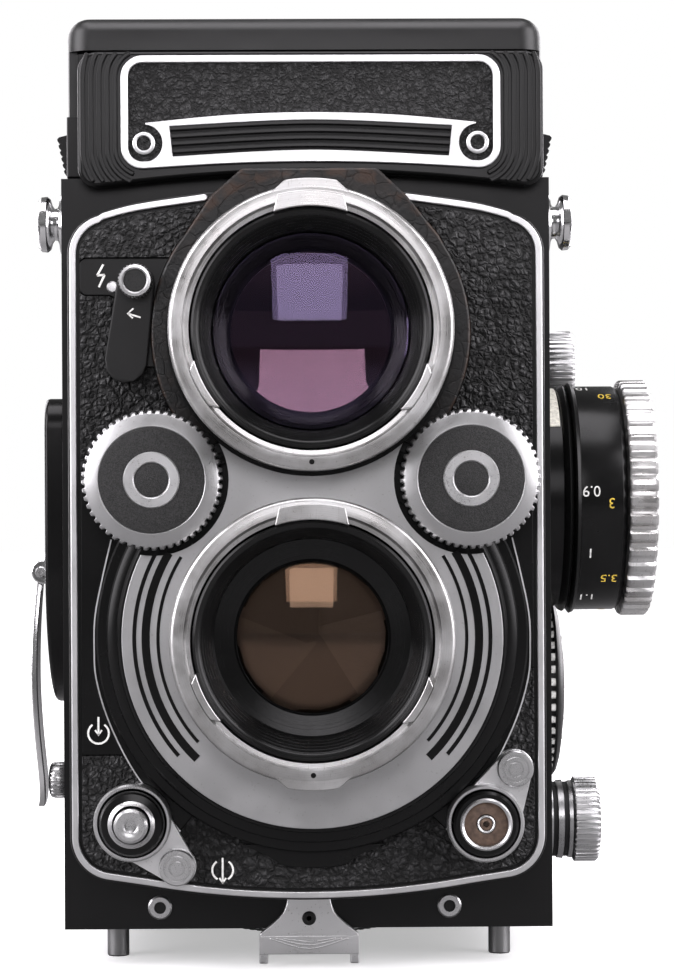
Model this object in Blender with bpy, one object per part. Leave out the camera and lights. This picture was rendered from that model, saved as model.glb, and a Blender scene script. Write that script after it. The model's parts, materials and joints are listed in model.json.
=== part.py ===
"""Twin lens reflex camera for 6 x 6 roll film, built as an assembly of separate pieces.

The design frame is in millimetres: X to the right as seen from the front, Y from front to back
with zero on the front face of the body, Z up from the tips of the feet. Every piece hangs on
one empty, which puts the origin at the bottom centre of the whole camera.
"""

import math

import bmesh
import bpy
from mathutils import Vector

MM = 0.001
GAP = 0.3                         # clearance that touching pieces keep
ROUND = 32                        # sides of a large turned piece
SMALL_ROUND = 20                  # sides of a small turned piece

# Body
BODY_HALF = 38.7
BODY_DEPTH = 64.0
BODY_BOTTOM = 6.0
BODY_TOP = 125.0
STRIP_DEPTH = 4.3                 # front strip below the focusing front
POCKET_DEPTH = 5.0                # recess that the focusing front slides in
UNDERSIDE = 7.8                   # bottom of the body behind the front strip
SPOOL_HALF = 33.4                 # half width of the film space

# Lens axes
LENS_X = 0.7
VIEW_Z = 99.7
TAKE_Z = 53.0
RING_FRONT = -28.0

# Focusing front
PANEL_FRONT = -12.0
PANEL_HALF = 36.9
PANEL_WALL = 2.0
PANEL_PLATE = 2.5
PANEL_REAR = 4.6
COVER_FRONT = -12.8               # front of the leather and of the trim line
HOUSING_FRONT = -18.4             # front of the shutter housing
FACE_PLATE_FRONT = -19.3
HOUSING_RADIUS = 33.0
FACE_PLATE_RADIUS = 29.0
VIEW_BEZEL_RADIUS = 24.4
MOUNT_BORE = 18.3                 # hole that the taking lens mount sits in
VIEW_BORE = 22.4                  # hole that the viewing barrel passes through
COVER_GAP = 0.4                   # extra room that the leather leaves around fittings

# Wheels beside the lenses
WHEEL_Z = 77.1
WHEEL_LEFT_X = -23.4
WHEEL_RIGHT_X = 24.7
WHEEL_RADIUS = 10.6
LOBE_RADIUS = 9.0                 # part of the shutter housing below each wheel

# Small fittings on the focusing front, as (x, z)
RELEASE = (-27.0, 24.7)
RELEASE_KNOB = (-20.2, 17.8)
SOCKET = (27.1, 24.3)
SOCKET_KNOB = (31.7, 32.6)
SELECTOR = (-26.1, 107.6)
TIMER_END = (-27.7, 95.3)
FITTING_RADIUS = 4.85             # collar of the release and of the flash socket

# Film path, as (y, z)
FEED_AXIS = (19.5, 20.8)
TAKEUP_AXIS = (51.7, 96.7)
GATE_Y = 60.0
GATE_HALF = 28.0
FEED_CHAMBER = 13.0
TAKEUP_CHAMBER = 12.3
CHAMBER_FLOOR = 4.0
LIGHT_CONE_HALF = 13.0            # half side of the light cone where it leaves the lens

# Right side, as (y, z)
FOCUS_AXIS = (31.0, 73.9)
FOCUS_RADIUS = 19.9
FOCUS_END = 57.5
REMINDER_AXIS = (46.0, 41.0)

# Left side, as (y, z)
CRANK_AXIS = (34.0, 66.8)
COUNTER_AXIS = (24.0, 84.0)
COUNTER_RADIUS = 4.1
CRANK_PIN = (-45.3, 61.8)         # fold pin, as (x, z)
CRANK_TIP_Z = 21.8
CRANK_OUTER = -46.7
HANDLE_Z = 26.3

# Hood
HOOD_HALF = 37.9
HOOD_WALL = 1.3
HOOD_FRAME_TOP = 135.0
HOOD_PANEL_REACH = 34.0           # width of a folding side panel
HOOD_FRONT = 1.5
HOOD_REAR = 66.0
HOOD_TOP = 151.0
LID_HINGE = (2.5, 147.0)
REAR_HINGE = (63.6, 146.0)
SIDE_HINGE = (35.6, 134.0)        # as (x, z)
MAGNIFIER_HINGE = (32.5, 148.0)
MAGNIFIER_Y = 47.0
MAGNIFIER_RADIUS = 12.0
NAME_X = 0.9
NAME_HALF = 36.65
NAME_TOP = 144.6
NAME_LOW = 125.6                  # middle of the arched lower edge
NAME_ARCH = 0.065                 # drop of the arch at its ends, per millimetre of half width
NAME_FRONT = -4.0

# Back door
DOOR_REAR = 67.6
DOOR_HINGE = (65.9, 115.0)
LOCK_CENTRE = (0.0, 30.0)
KNUCKLE_BORE = 0.8
KNUCKLE_RADIUS = 1.5
KNUCKLE_SPLIT = (20.0, 20.4, 36.0)    # end of the door's knuckle, start and end of the body's


def make_material(name, color, roughness, metallic):
    """One Principled material."""
    material = bpy.data.materials.new(name)
    material.use_nodes = True
    shader = material.node_tree.nodes["Principled BSDF"]
    shader.inputs["Base Color"].default_value = (*color, 1.0)
    shader.inputs["Roughness"].default_value = roughness
    shader.inputs["Metallic"].default_value = metallic
    return material


def clear_scene():
    for item in list(bpy.data.objects):
        bpy.data.objects.remove(item)


def make_root():
    """The empty that carries the design frame to the bottom centre of the camera."""
    root = bpy.data.objects.new("camera_frame", None)
    bpy.context.scene.collection.objects.link(root)
    middle_x = (CRANK_OUTER + FOCUS_END) / 2
    middle_y = (RING_FRONT + DOOR_REAR) / 2
    root.location = (-middle_x * MM, -middle_y * MM, 0.0)
    return root


clear_scene()
ROOT = make_root()
BLACK_LACQUER = make_material("black_lacquer", (0.012, 0.012, 0.013), 0.35, 0.0)
BLACK_LEATHER = make_material("black_leather", (0.02, 0.02, 0.021), 0.6, 0.0)
BLACK_ANODISED = make_material("black_anodised", (0.01, 0.01, 0.011), 0.3, 0.0)
SATIN_SILVER = make_material("satin_silver", (0.72, 0.72, 0.73), 0.35, 1.0)
CHROME = make_material("chrome", (0.85, 0.85, 0.86), 0.12, 1.0)
LENS_GLASS = make_material("lens_glass", (0.1, 0.06, 0.1), 0.03, 0.0)
CLEAR_GLASS = make_material("clear_glass", (0.85, 0.88, 0.9), 0.05, 0.0)
MIRROR = make_material("mirror", (0.9, 0.9, 0.9), 0.03, 1.0)
BLADE_STEEL = make_material("blade_steel", (0.25, 0.23, 0.21), 0.4, 1.0)
SPOOL_BLACK = make_material("spool_plastic", (0.015, 0.015, 0.015), 0.5, 0.0)


def add_object(name, bm, material, pivot=(0.0, 0.0, 0.0), smooth=True):
    """Turn a bmesh in design millimetres into a named object whose origin is at pivot."""
    bmesh.ops.recalc_face_normals(bm, faces=bm.faces)
    for vertex in bm.verts:
        vertex.co = (vertex.co - Vector(pivot)) * MM
    mesh = bpy.data.meshes.new(name)
    bm.to_mesh(mesh)
    bm.free()
    mesh.materials.append(material)
    if smooth:
        mesh.shade_smooth()
        mesh.set_sharp_from_angle(angle=math.radians(35))
    item = bpy.data.objects.new(name, mesh)
    bpy.context.scene.collection.objects.link(item)
    item.parent = ROOT
    item.location = Vector(pivot) * MM
    return item


def to_space(axis, across, up, along):
    """A point given across, up and along one axis, as design X, Y, Z."""
    if axis == "X":
        return (along, across, up)
    if axis == "Y":
        return (across, along, up)
    return (across, up, along)


def prism(name, outline, axis, low, high, material, pivot=(0.0, 0.0, 0.0)):
    """An outline of (across, up) points, extruded along an axis from low to high."""
    bm = bmesh.new()
    bottom = [bm.verts.new(to_space(axis, a, b, low)) for a, b in outline]
    face = bm.faces.new(bottom)
    grown = bmesh.ops.extrude_face_region(bm, geom=[face])
    moved = [item for item in grown["geom"] if isinstance(item, bmesh.types.BMVert)]
    shift = Vector(to_space(axis, 0.0, 0.0, high - low))
    bmesh.ops.translate(bm, verts=moved, vec=shift)
    return add_object(name, bm, material, pivot)


def turned(name, profile, axis, centre, material, sides=ROUND, pivot=(0.0, 0.0, 0.0)):
    """A turned piece: a closed (radius, along) loop, or a run that starts and ends on the axis."""
    bm = bmesh.new()
    rings = []
    for radius, along in profile:
        count = sides if radius > 0 else 1
        ring = []
        for step in range(count):
            angle = 2 * math.pi * step / sides
            across = centre[0] + radius * math.cos(angle)
            up = centre[1] + radius * math.sin(angle)
            ring.append(bm.verts.new(to_space(axis, across, up, along)))
        rings.append(ring)
    pairs = list(zip(rings, rings[1:]))
    if profile[0][0] > 0:
        pairs.append((rings[-1], rings[0]))
    for one, two in pairs:
        for step in range(sides):
            after = (step + 1) % sides
            corners = [one[step % len(one)], one[after % len(one)]]
            corners += [two[after % len(two)], two[step % len(two)]]
            bm.faces.new(list(dict.fromkeys(corners)))
    return add_object(name, bm, material, pivot)


def box(name, low, high, material, pivot=(0.0, 0.0, 0.0)):
    """A block between two corners."""
    outline = [(low[0], low[1]), (high[0], low[1]), (high[0], high[1]), (low[0], high[1])]
    return prism(name, outline, "Z", low[2], high[2], material, pivot)


def combine(target, tool, operation):
    """Cut target with tool, or add tool to it; the tool itself stays a guide."""
    modifier = target.modifiers.new(operation.lower(), "BOOLEAN")
    modifier.operation = operation
    modifier.solver = "EXACT"
    modifier.object = tool
    tool.hide_render = True
    tool.display_type = "WIRE"


def cut(target, tool):
    combine(target, tool, "DIFFERENCE")


def add(target, tool):
    combine(target, tool, "UNION")


def cylinder(name, centre, radius, axis, low, high, material=BLACK_LACQUER, sides=ROUND):
    profile = [(0.0, low), (radius, low), (radius, high), (0.0, high)]
    return turned(name, profile, axis, centre, material, sides)


def bore(target, centre, radius, axis, low, high, sides=ROUND):
    """Cut a round hole."""
    tool = cylinder(target.name + "_cutter", centre, radius, axis, low, high, sides=sides)
    cut(target, tool)


def soften(item, width, segments=2):
    """Round the outer edges of a piece."""
    modifier = item.modifiers.new("soften", "BEVEL")
    modifier.width = width * MM
    modifier.segments = segments
    modifier.limit_method = "ANGLE"
    modifier.angle_limit = math.radians(50)


def arc(centre, radius, start, end, steps):
    """Points on a circle from angle start to angle end in degrees, ends included."""
    points = []
    for step in range(steps + 1):
        angle = math.radians(start + (end - start) * step / steps)
        points.append((centre[0] + radius * math.cos(angle), centre[1] + radius * math.sin(angle)))
    return points


def mirrored(points):
    """The same points on the other side of X = 0, in reverse order."""
    return [(-x, z) for x, z in reversed(points)]


def rounded_rectangle(low, high, radius, steps=3):
    """Corner-rounded outline between two (across, up) corners."""
    left = low[0] + radius
    right = high[0] - radius
    bottom = low[1] + radius
    top = high[1] - radius
    corners = [((right, top), 0), ((left, top), 90), ((left, bottom), 180), ((right, bottom), 270)]
    points = []
    for centre, start in corners:
        points += arc(centre, radius, start, start + 90, steps)
    return points


def lever_outline(centre, knob, wide, narrow):
    """A tapered arm with round ends from a pivot circle to a knob circle."""
    heading = math.degrees(math.atan2(knob[1] - centre[1], knob[0] - centre[0]))
    big_end = arc(centre, wide, heading + 90, heading + 270, 6)
    small_end = arc(knob, narrow, heading - 90, heading + 90, 6)
    return big_end + small_end


def panel_side(inset):
    """Right half of the focusing front's outline, from bottom centre to the top shoulder."""
    points = arc((0.0, 156.3), 144.2 - inset, 270, 280, 3)
    points += arc((29.9, 22.1), 7.0 - inset, -78, 0, 5)
    points += arc((30.4, 112.0), 6.5 - inset, 0, 72, 4)
    points.append((15.5, 121.7 - inset))
    return points


def panel_path(inset):
    """Open path from the left shoulder down and round to the right shoulder."""
    side = panel_side(inset)
    return mirrored(side[1:]) + side


def panel_outline(inset):
    return panel_path(inset) + [(0.0, 122.6 - inset)]


# ---------------------------------------------------------------- body

def film_space_outline():
    """Feed chamber, film passage behind the gate and take-up chamber, as (y, z)."""
    reach = GATE_Y - TAKEUP_AXIS[0]
    angle = math.degrees(math.acos(reach / TAKEUP_CHAMBER))
    points = [(BODY_DEPTH + 2, CHAMBER_FLOOR), (FEED_AXIS[0] - FEED_CHAMBER, CHAMBER_FLOOR)]
    points += arc(FEED_AXIS, FEED_CHAMBER, 180, 10, 8)
    points.append((GATE_Y, FEED_AXIS[1] + 2.3))
    points += arc(TAKEUP_AXIS, TAKEUP_CHAMBER, -angle, angle - 360, 12)
    points.append((BODY_DEPTH + 2, TAKEUP_AXIS[1] + 9.0))
    return points


def image_chamber_cutter():
    """Square light cone from the taking lens to the film gate."""
    bm = bmesh.new()
    ends = []
    for y, half in ((-1.0, LIGHT_CONE_HALF), (GATE_Y + 1, GATE_HALF)):
        corners = [(-half, -half), (half, -half), (half, half), (-half, half)]
        ends.append([bm.verts.new((x, y, TAKE_Z + z)) for x, z in corners])
    bm.faces.new(ends[0])
    bm.faces.new(ends[1])
    for step in range(4):
        after = (step + 1) % 4
        bm.faces.new([ends[0][step], ends[0][after], ends[1][after], ends[1][step]])
    return add_object("image_chamber_cutter", bm, BLACK_LACQUER, smooth=False)


def make_body():
    """Casting with the film space, light cone, mirror box, screen seat and hinge knuckles."""
    body = box("body_casting", (-BODY_HALF, 0, BODY_BOTTOM), (BODY_HALF, BODY_DEPTH, BODY_TOP),
               BLACK_LACQUER)
    underside = box("underside_cutter", (-50, STRIP_DEPTH, 0), (50, 80, UNDERSIDE), BLACK_LACQUER)
    cut(body, underside)
    cut(body, prism("pocket_cutter", panel_outline(-0.35), "Y", -1, POCKET_DEPTH, BLACK_LACQUER))
    cut(body, prism("film_space_cutter", film_space_outline(), "X", -SPOOL_HALF, SPOOL_HALF,
                    BLACK_LACQUER))
    cut(body, image_chamber_cutter())
    mirror_box = [(4, 84), (14, 84), (52, 122), (52, 126), (12, 126), (12, 118), (4, 118)]
    cut(body, prism("mirror_box_cutter", mirror_box, "X", -28, 28, BLACK_LACQUER))
    cut(body, box("screen_cutter", (-32, 8, 122.8), (32, 56, 130), BLACK_LACQUER))
    for side in (-1, 1):
        low, high = sorted((side * KNUCKLE_SPLIT[1], side * KNUCKLE_SPLIT[2]))
        add(body, box("knuckle_web_tool", (low, 63.4, 114), (high, 64.8, 116), BLACK_LACQUER))
        add(body, knuckle("knuckle_tool", low, high))


def knuckle(name, low, high):
    """One bored barrel of the back door's hinge."""
    profile = [(KNUCKLE_BORE, low), (KNUCKLE_RADIUS, low), (KNUCKLE_RADIUS, high),
               (KNUCKLE_BORE, high)]
    return turned(name, profile, "X", DOOR_HINGE, BLACK_LACQUER, 16)


def make_mirror_and_screen():
    """Mirror on the slope of its box, and the ground-glass screen in the seat above it."""
    rise = [(16.0, 86.0), (50.0, 120.0)]
    near = 0.4 / math.sqrt(2)
    far = 2.0 / math.sqrt(2)
    outline = [(rise[0][0] - near, rise[0][1] + near), (rise[1][0] - near, rise[1][1] + near)]
    outline += [(rise[1][0] - far, rise[1][1] + far), (rise[0][0] - far, rise[0][1] + far)]
    prism("reflex_mirror", outline, "X", -27.5, 27.5, MIRROR)
    box("focusing_screen", (-31.6, 8.4, 123.1), (31.6, 55.6, 124.9), CLEAR_GLASS)


def name_outline(inset):
    """Nameplate housing front: rounded top corners and an arched lower edge."""
    half = NAME_HALF - inset
    top = NAME_TOP - inset
    points = arc((half - 3, top - 3), 3, 0, 90, 3)
    points += mirrored(points)
    bottom = NAME_ARCH * half
    for step in range(7):
        x = half * (step - 3) / 3
        points.append((x, NAME_LOW + inset - bottom * (x / half) ** 2))
    return [(NAME_X + x, z) for x, z in points]


def make_nameplate():
    """Housing over the meter cell, its bright frame and the ribbed grille."""
    housing = prism("nameplate_housing", name_outline(0), "Y", NAME_FRONT, -GAP, BLACK_LACQUER)
    add(housing, box("nameplate_back_tool", (-34, -1, 126), (34, 1.2, 143), BLACK_LACQUER))
    cut(housing, box("grille_cutter", (NAME_X - 22.5, -6, 127.3), (NAME_X + 22.5, -1.5, 133.7),
                     BLACK_LACQUER))
    trim = prism("nameplate_trim", rounded_rectangle((NAME_X - 29.8, 126.1), (NAME_X + 29.8, 143.8), 3.5),
                 "Y", -4.9, NAME_FRONT - GAP, SATIN_SILVER)
    cut(trim, prism("trim_cutter", rounded_rectangle((NAME_X - 28.4, 127.4),
                                                     (NAME_X + 28.4, 142.4), 2.4),
                    "Y", -6, -3, SATIN_SILVER))
    comb = [(-1.8, 127.6), (-1.8, 133.4)]
    for rib in range(4):
        top = 133.4 - rib * 1.5
        comb += [(-3.9, top), (-3.9, top - 0.9), (-2.6, top - 1.1), (-2.6, top - 1.3)]
    comb[-2:] = [(-2.6, 127.6)]
    prism("meter_grille", comb, "X", NAME_X - 22.2, NAME_X + 22.2, BLACK_ANODISED)


def make_tongue():
    half = [(3.1, 10.5), (3.6, 7.5), (7.8, 5.2), (7.8, 0.5), (6.4, 0.5), (6.4, 2.0)]
    prism("tripod_tongue", [(x, z) for x, z in reversed(half)] + [(-x, z) for x, z in half],
          "Y", -1.8, -0.4, SATIN_SILVER)


def make_strap_lugs():
    for side, label in ((-1, "left"), (1, "right")):
        base = BODY_HALF + GAP
        profile = [(0, base), (5.2, base), (5.2, base + 1.2), (2.2, base + 1.8), (2.2, base + 3.2),
                   (4.0, base + 3.8), (4.0, base + 4.6), (2.8, base + 5.2), (0, base + 5.2)]
        turned("strap_lug_" + label, [(r, side * x) for r, x in profile], "X", (20.0, 119.6),
               CHROME, SMALL_ROUND)


# ---------------------------------------------------------------- focusing front

def make_front_panel():
    """Tray that carries both lenses and slides in the body's pocket."""
    panel = prism("front_panel", panel_outline(0), "Y", PANEL_FRONT, PANEL_REAR, BLACK_LACQUER)
    cut(panel, prism("tray_cutter", panel_outline(PANEL_WALL), "Y", PANEL_FRONT + PANEL_PLATE, 9,
                     BLACK_LACQUER))
    through = (PANEL_FRONT - 2, PANEL_FRONT + 4)
    bore(panel, (LENS_X, VIEW_Z), 17.0, "Y", *through)
    bore(panel, (LENS_X, TAKE_Z), 15.0, "Y", *through)
    bore(panel, RELEASE, 3.1, "Y", *through, SMALL_ROUND)


def make_front_trim():
    """Bright line around the sides and bottom of the focusing front."""
    outer = panel_path(0.35)
    inner = panel_path(1.4)
    prism("front_trim", outer + inner[::-1], "Y", COVER_FRONT, PANEL_FRONT - GAP, SATIN_SILVER)


def make_front_leather():
    """Leather cover, cut out around everything that stands on the panel."""
    low = COVER_FRONT - 2
    high = PANEL_FRONT + 2
    leather = prism("front_leather", panel_outline(1.8), "Y", COVER_FRONT, PANEL_FRONT - GAP,
                    BLACK_LEATHER)
    bore(leather, (LENS_X, TAKE_Z), HOUSING_RADIUS + COVER_GAP, "Y", low, high, 48)
    bore(leather, (LENS_X, VIEW_Z), VIEW_BEZEL_RADIUS + GAP, "Y", low, high, 48)
    hump = [(-19.8, 110), (21.3, 110), (21.3, 114.2), (16.2, 121.4), (11.0, 130), (-10.0, 130),
            (-15.6, 121.4), (-19.8, 114.2)]
    cut(leather, prism("hump_cutter", hump, "Y", low, high, BLACK_LEATHER))
    for x in (WHEEL_LEFT_X, WHEEL_RIGHT_X):
        bore(leather, (x, WHEEL_Z), LOBE_RADIUS + COVER_GAP, "Y", low, high)
    for centre in (RELEASE, SOCKET):
        bore(leather, centre, FITTING_RADIUS + 0.45, "Y", low, high, SMALL_ROUND)


def make_viewing_bezel():
    """Ring around the viewing lens with a flat-topped hump above it."""
    outline = [(-9.5, 125.0), (-15.0, 120.8), (-19.0, 114.0)]
    outline += arc((LENS_X, VIEW_Z), VIEW_BEZEL_RADIUS, 150, 390, 24)
    outline += [(20.5, 114.0), (14.8, 120.8), (10.5, 125.0)]
    bezel = prism("viewing_bezel", outline, "Y", -14.3, PANEL_FRONT - GAP, BLACK_LEATHER)
    bore(bezel, (LENS_X, VIEW_Z), VIEW_BORE, "Y", -16, -10, 40)
    bore(bezel, (LENS_X, TAKE_Z), HOUSING_RADIUS + COVER_GAP, "Y", -16, -10, 48)
    for x in (WHEEL_LEFT_X, WHEEL_RIGHT_X):
        bore(bezel, (x, WHEEL_Z), LOBE_RADIUS + COVER_GAP, "Y", -16, -10)


def make_shutter_housing():
    """Stepped ring around the leaf shutter with a lobe under each wheel."""
    back = PANEL_FRONT - GAP
    profile = [(HOUSING_RADIUS, back), (HOUSING_RADIUS, -14.5), (31.4, -14.8), (31.2, -16.4),
               (29.7, -16.8), (29.3, HOUSING_FRONT), (MOUNT_BORE, HOUSING_FRONT),
               (MOUNT_BORE, -15.9), (24.6, -15.9), (24.6, back)]
    housing = turned("shutter_housing", profile, "Y", (LENS_X, TAKE_Z), BLACK_ANODISED, 48)
    for x in (WHEEL_LEFT_X, WHEEL_RIGHT_X):
        lobe = cylinder("lobe_tool", (x, WHEEL_Z), LOBE_RADIUS, "Y", back, -17.8)
        add(housing, lobe)
    bore(housing, (LENS_X, TAKE_Z), 24.6, "Y", -15.9, -11, 48)
    bore(housing, (LENS_X, VIEW_Z), VIEW_BORE, "Y", -20, -10, 40)


def make_face_plate():
    """Bright plate between and around the lenses, cut back round the wheels."""
    back = HOUSING_FRONT - GAP
    plate = cylinder("shutter_face_plate", (LENS_X, TAKE_Z), FACE_PLATE_RADIUS, "Y", back,
                     FACE_PLATE_FRONT, SATIN_SILVER, 48)
    waist = box("waist_tool", (-17, FACE_PLATE_FRONT, 74), (18, back, 84), SATIN_SILVER)
    add(plate, waist)
    bore(plate, (LENS_X, TAKE_Z), MOUNT_BORE, "Y", -21, -17, 40)
    bore(plate, (LENS_X, VIEW_Z), VIEW_BORE, "Y", -21, -17, 40)
    for x in (WHEEL_LEFT_X, WHEEL_RIGHT_X):
        bore(plate, (x, WHEEL_Z), WHEEL_RADIUS + 0.6, "Y", -21, -17)


def make_bayonet_rings():
    for label, z in (("viewing", VIEW_Z), ("taking", TAKE_Z)):
        profile = [(18.25, -20.0), (21.2, -20.0), (21.4, -20.3), (21.4, -27.3), (20.7, RING_FRONT),
                   (18.25, RING_FRONT)]
        turned(label + "_bayonet_ring", profile, "Y", (LENS_X, z), SATIN_SILVER, 40)


def make_barrels():
    steps = [(17.9, -27.4), (17.2, -27.4), (17.0, -24.0), (16.2, -24.0), (16.0, -20.5),
             (15.4, -20.5)]
    viewing = [(22.0, -12.6), (22.0, -19.6), (17.9, -19.6)] + steps
    viewing += [(15.3, -15.5), (12.6, -15.5), (12.6, -6.0), (16.5, -6.0), (16.5, -12.6)]
    turned("viewing_barrel", viewing, "Y", (LENS_X, VIEW_Z), BLACK_ANODISED, 40)
    taking = [(17.9, -16.2)] + steps + [(15.2, -17.4), (11.8, -16.9), (11.8, -16.2)]
    turned("taking_barrel", taking, "Y", (LENS_X, TAKE_Z), BLACK_ANODISED, 40)


def make_glasses():
    viewing = [(0, -19.2), (5, -19.0), (10, -18.5), (15.0, -17.5), (15.0, -15.9), (0, -15.9)]
    turned("viewing_glass", viewing, "Y", (LENS_X, VIEW_Z), LENS_GLASS)
    taking = [(0, -18.6), (4, -18.4), (8, -17.9), (11.4, -17.2), (11.4, -16.3), (0, -16.3)]
    turned("taking_glass", taking, "Y", (LENS_X, TAKE_Z), LENS_GLASS)


def make_shutter_blades():
    """Five leaves in separate layers, each turning on its own pivot outside the aperture."""
    pivot_radius = 14.0
    layer = 0.5
    for blade in range(5):
        heading = math.radians(90 + 72 * blade)
        inward = (-math.cos(heading), -math.sin(heading))
        aside = (-inward[1], inward[0])
        pivot = (LENS_X - pivot_radius * inward[0], TAKE_Z - pivot_radius * inward[1])
        far = []
        for step in range(4):
            swing = math.radians(26 + 16 * step)
            far.append((pivot_radius - 11.2 * math.cos(swing), -11.2 * math.sin(swing)))
        shape = [(-1.2, 0.0), (-0.8, 1.2), (pivot_radius + 0.5, 0.9), (pivot_radius + 0.9, -0.9)]
        shape += far[::-1] + [(0.6, -2.4), (-0.8, -1.0)]
        outline = []
        for u, v in shape:
            outline.append((pivot[0] + inward[0] * u + aside[0] * v,
                            pivot[1] + inward[1] * u + aside[1] * v))
        near = -15.5 + layer * blade
        prism("shutter_blade_" + str(blade + 1), outline, "Y", near, near + 0.25, BLADE_STEEL,
              (pivot[0], near, pivot[1]))


def make_wheels():
    for name, x in (("shutter_speed_wheel", WHEEL_LEFT_X), ("aperture_wheel", WHEEL_RIGHT_X)):
        profile = [(0, -18.3), (4.0, -18.3), (4.0, -20.2), (9.8, -20.2), (WHEEL_RADIUS, -20.8),
                   (WHEEL_RADIUS, -22.8), (9.6, -24.0), (0, -24.0)]
        turned(name, profile, "Y", (x, WHEEL_Z), BLACK_ANODISED, ROUND, (x, -22.0, WHEEL_Z))


def make_timer_and_selector():
    pivot = (SELECTOR[0], -13.7, SELECTOR[1])
    prism("self_timer_lever", lever_outline(SELECTOR, TIMER_END, 2.9, 3.3), "Y", -14.4, -13.1,
          BLACK_ANODISED, pivot)
    turned("sync_selector", [(0, -14.7), (2.5, -14.7), (2.64, -15.0), (2.64, -17.0), (2.2, -17.5),
                             (0, -17.5)], "Y", SELECTOR, SATIN_SILVER, SMALL_ROUND, pivot)


def make_release():
    """Button with a cable-release seat, sliding in its collar."""
    collar = [(3.0, -12.3), (FITTING_RADIUS, -12.3), (FITTING_RADIUS, -19.0), (4.5, -19.6),
              (3.0, -19.6)]
    turned("release_collar", collar, "Y", RELEASE, SATIN_SILVER, SMALL_ROUND)
    button = [(0, -12.6), (2.6, -12.6), (2.6, -20.4), (2.3, -20.8), (1.0, -20.8), (0.4, -18.5),
              (0, -18.5)]
    turned("release_button", button, "Y", RELEASE, CHROME, SMALL_ROUND,
           (RELEASE[0], -12.6, RELEASE[1]))
    make_lock_lever("release_lock", RELEASE, RELEASE_KNOB)


def make_lock_lever(name, centre, knob):
    """Ring round a fitting with an arm that ends in a small grooved knob."""
    pivot = (centre[0], -14.0, centre[1])
    lever = prism(name, lever_outline(centre, knob, 5.8, 2.2), "Y", -14.6, -13.1, SATIN_SILVER,
                  pivot)
    head = turned(name + "_head_tool", [(0, -13.1), (2.8, -13.1), (2.8, -16.0), (2.4, -16.6),
                                        (0, -16.6)], "Y", knob, SATIN_SILVER, SMALL_ROUND)
    add(lever, head)
    bore(lever, centre, FITTING_RADIUS + GAP, "Y", -20, -10, SMALL_ROUND)


def make_sync_socket():
    """Coaxial flash socket with its lock."""
    profile = [(0, -12.3), (FITTING_RADIUS, -12.3), (FITTING_RADIUS, -17.6), (4.5, -18.2),
               (3.4, -18.2), (3.2, -15.4), (1.4, -15.4), (1.3, -17.0), (0, -17.0)]
    turned("sync_socket", profile, "Y", SOCKET, SATIN_SILVER, SMALL_ROUND)
    make_lock_lever("socket_lock", SOCKET, SOCKET_KNOB)


# ---------------------------------------------------------------- sides

def make_right_side():
    base = BODY_HALF + GAP
    turned("focus_flange", [(0, base), (19.2, base), (19.2, 43.2), (18.6, 43.7), (0, 43.7)], "X",
           FOCUS_AXIS, BLACK_LACQUER, 40)
    knob = [(0, 44.0), (19.0, 44.0), (19.0, 45.2), (18.0, 45.8), (18.0, 52.6), (FOCUS_RADIUS, 52.9),
            (FOCUS_RADIUS, 57.0), (19.3, FOCUS_END), (15.5, FOCUS_END), (15.2, 56.6), (0, 56.6)]
    turned("focus_knob", knob, "X", FOCUS_AXIS, BLACK_ANODISED, 40, (44.0, *FOCUS_AXIS))
    dial = [(0, base), (15.6, base), (15.6, 42.0), (14.4, 43.4), (8.0, 44.4), (0, 44.7)]
    turned("reminder_dial", dial, "X", REMINDER_AXIS, BLACK_ANODISED, ROUND,
           (base, *REMINDER_AXIS))
    upper = [(0, base), (4.4, base), (4.4, 42.0), (6.3, 42.3), (6.6, 42.6), (6.6, 46.8), (6.1, 47.3),
             (0, 47.3)]
    turned("upper_spool_knob", upper, "X", TAKEUP_AXIS, SATIN_SILVER, SMALL_ROUND,
           (base, *TAKEUP_AXIS))
    lower = [(0, base), (6.4, base), (6.4, 43.4), (5.6, 43.6), (5.6, 43.9), (6.8, 44.1), (7.0, 44.4),
             (7.0, 47.5), (6.5, 48.0), (0, 48.0)]
    turned("lower_spool_knob", lower, "X", FEED_AXIS, SATIN_SILVER, SMALL_ROUND,
           (base, *FEED_AXIS))


def make_crank():
    base = -BODY_HALF - GAP
    outline = arc((CRANK_AXIS[0], 64.0), 24.2, 180, 360, 14)
    outline += arc((53.2, 85.6), 5.0, 0, 90, 3) + arc((14.8, 85.6), 5.0, 90, 180, 3)
    plate = prism("crank_plate", outline, "X", -42.5, base, BLACK_LACQUER)
    bore(plate, COUNTER_AXIS, COUNTER_RADIUS + GAP, "X", -44, -40.6, SMALL_ROUND)
    dial = [(0, -41.0), (COUNTER_RADIUS, -41.0), (COUNTER_RADIUS, -41.6), (0, -41.6)]
    turned("counter_dial", dial, "X", COUNTER_AXIS, SATIN_SILVER, SMALL_ROUND,
           (-41.0, *COUNTER_AXIS))
    glass = [(0, -41.9), (COUNTER_RADIUS, -41.9), (COUNTER_RADIUS, -42.4), (0, -42.5)]
    turned("counter_glass", glass, "X", COUNTER_AXIS, CLEAR_GLASS, SMALL_ROUND)
    hub = turned("crank_hub", [(0, -42.8), (6.0, -42.8), (6.0, -43.2), (5.4, -43.7), (0, -43.7)], "X",
                 CRANK_AXIS, CHROME, 24, (-42.8, *CRANK_AXIS))
    for side in (-1, 1):
        cheek = [(CRANK_AXIS[0] + side * y, z) for y, z in ((2.2, 59.9), (3.6, 59.9), (3.6, 66.0),
                                                            (2.2, 66.0))]
        add(hub, prism("cheek_tool", cheek, "X", CRANK_OUTER, -43.0, CHROME))
    make_crank_arm()


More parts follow.
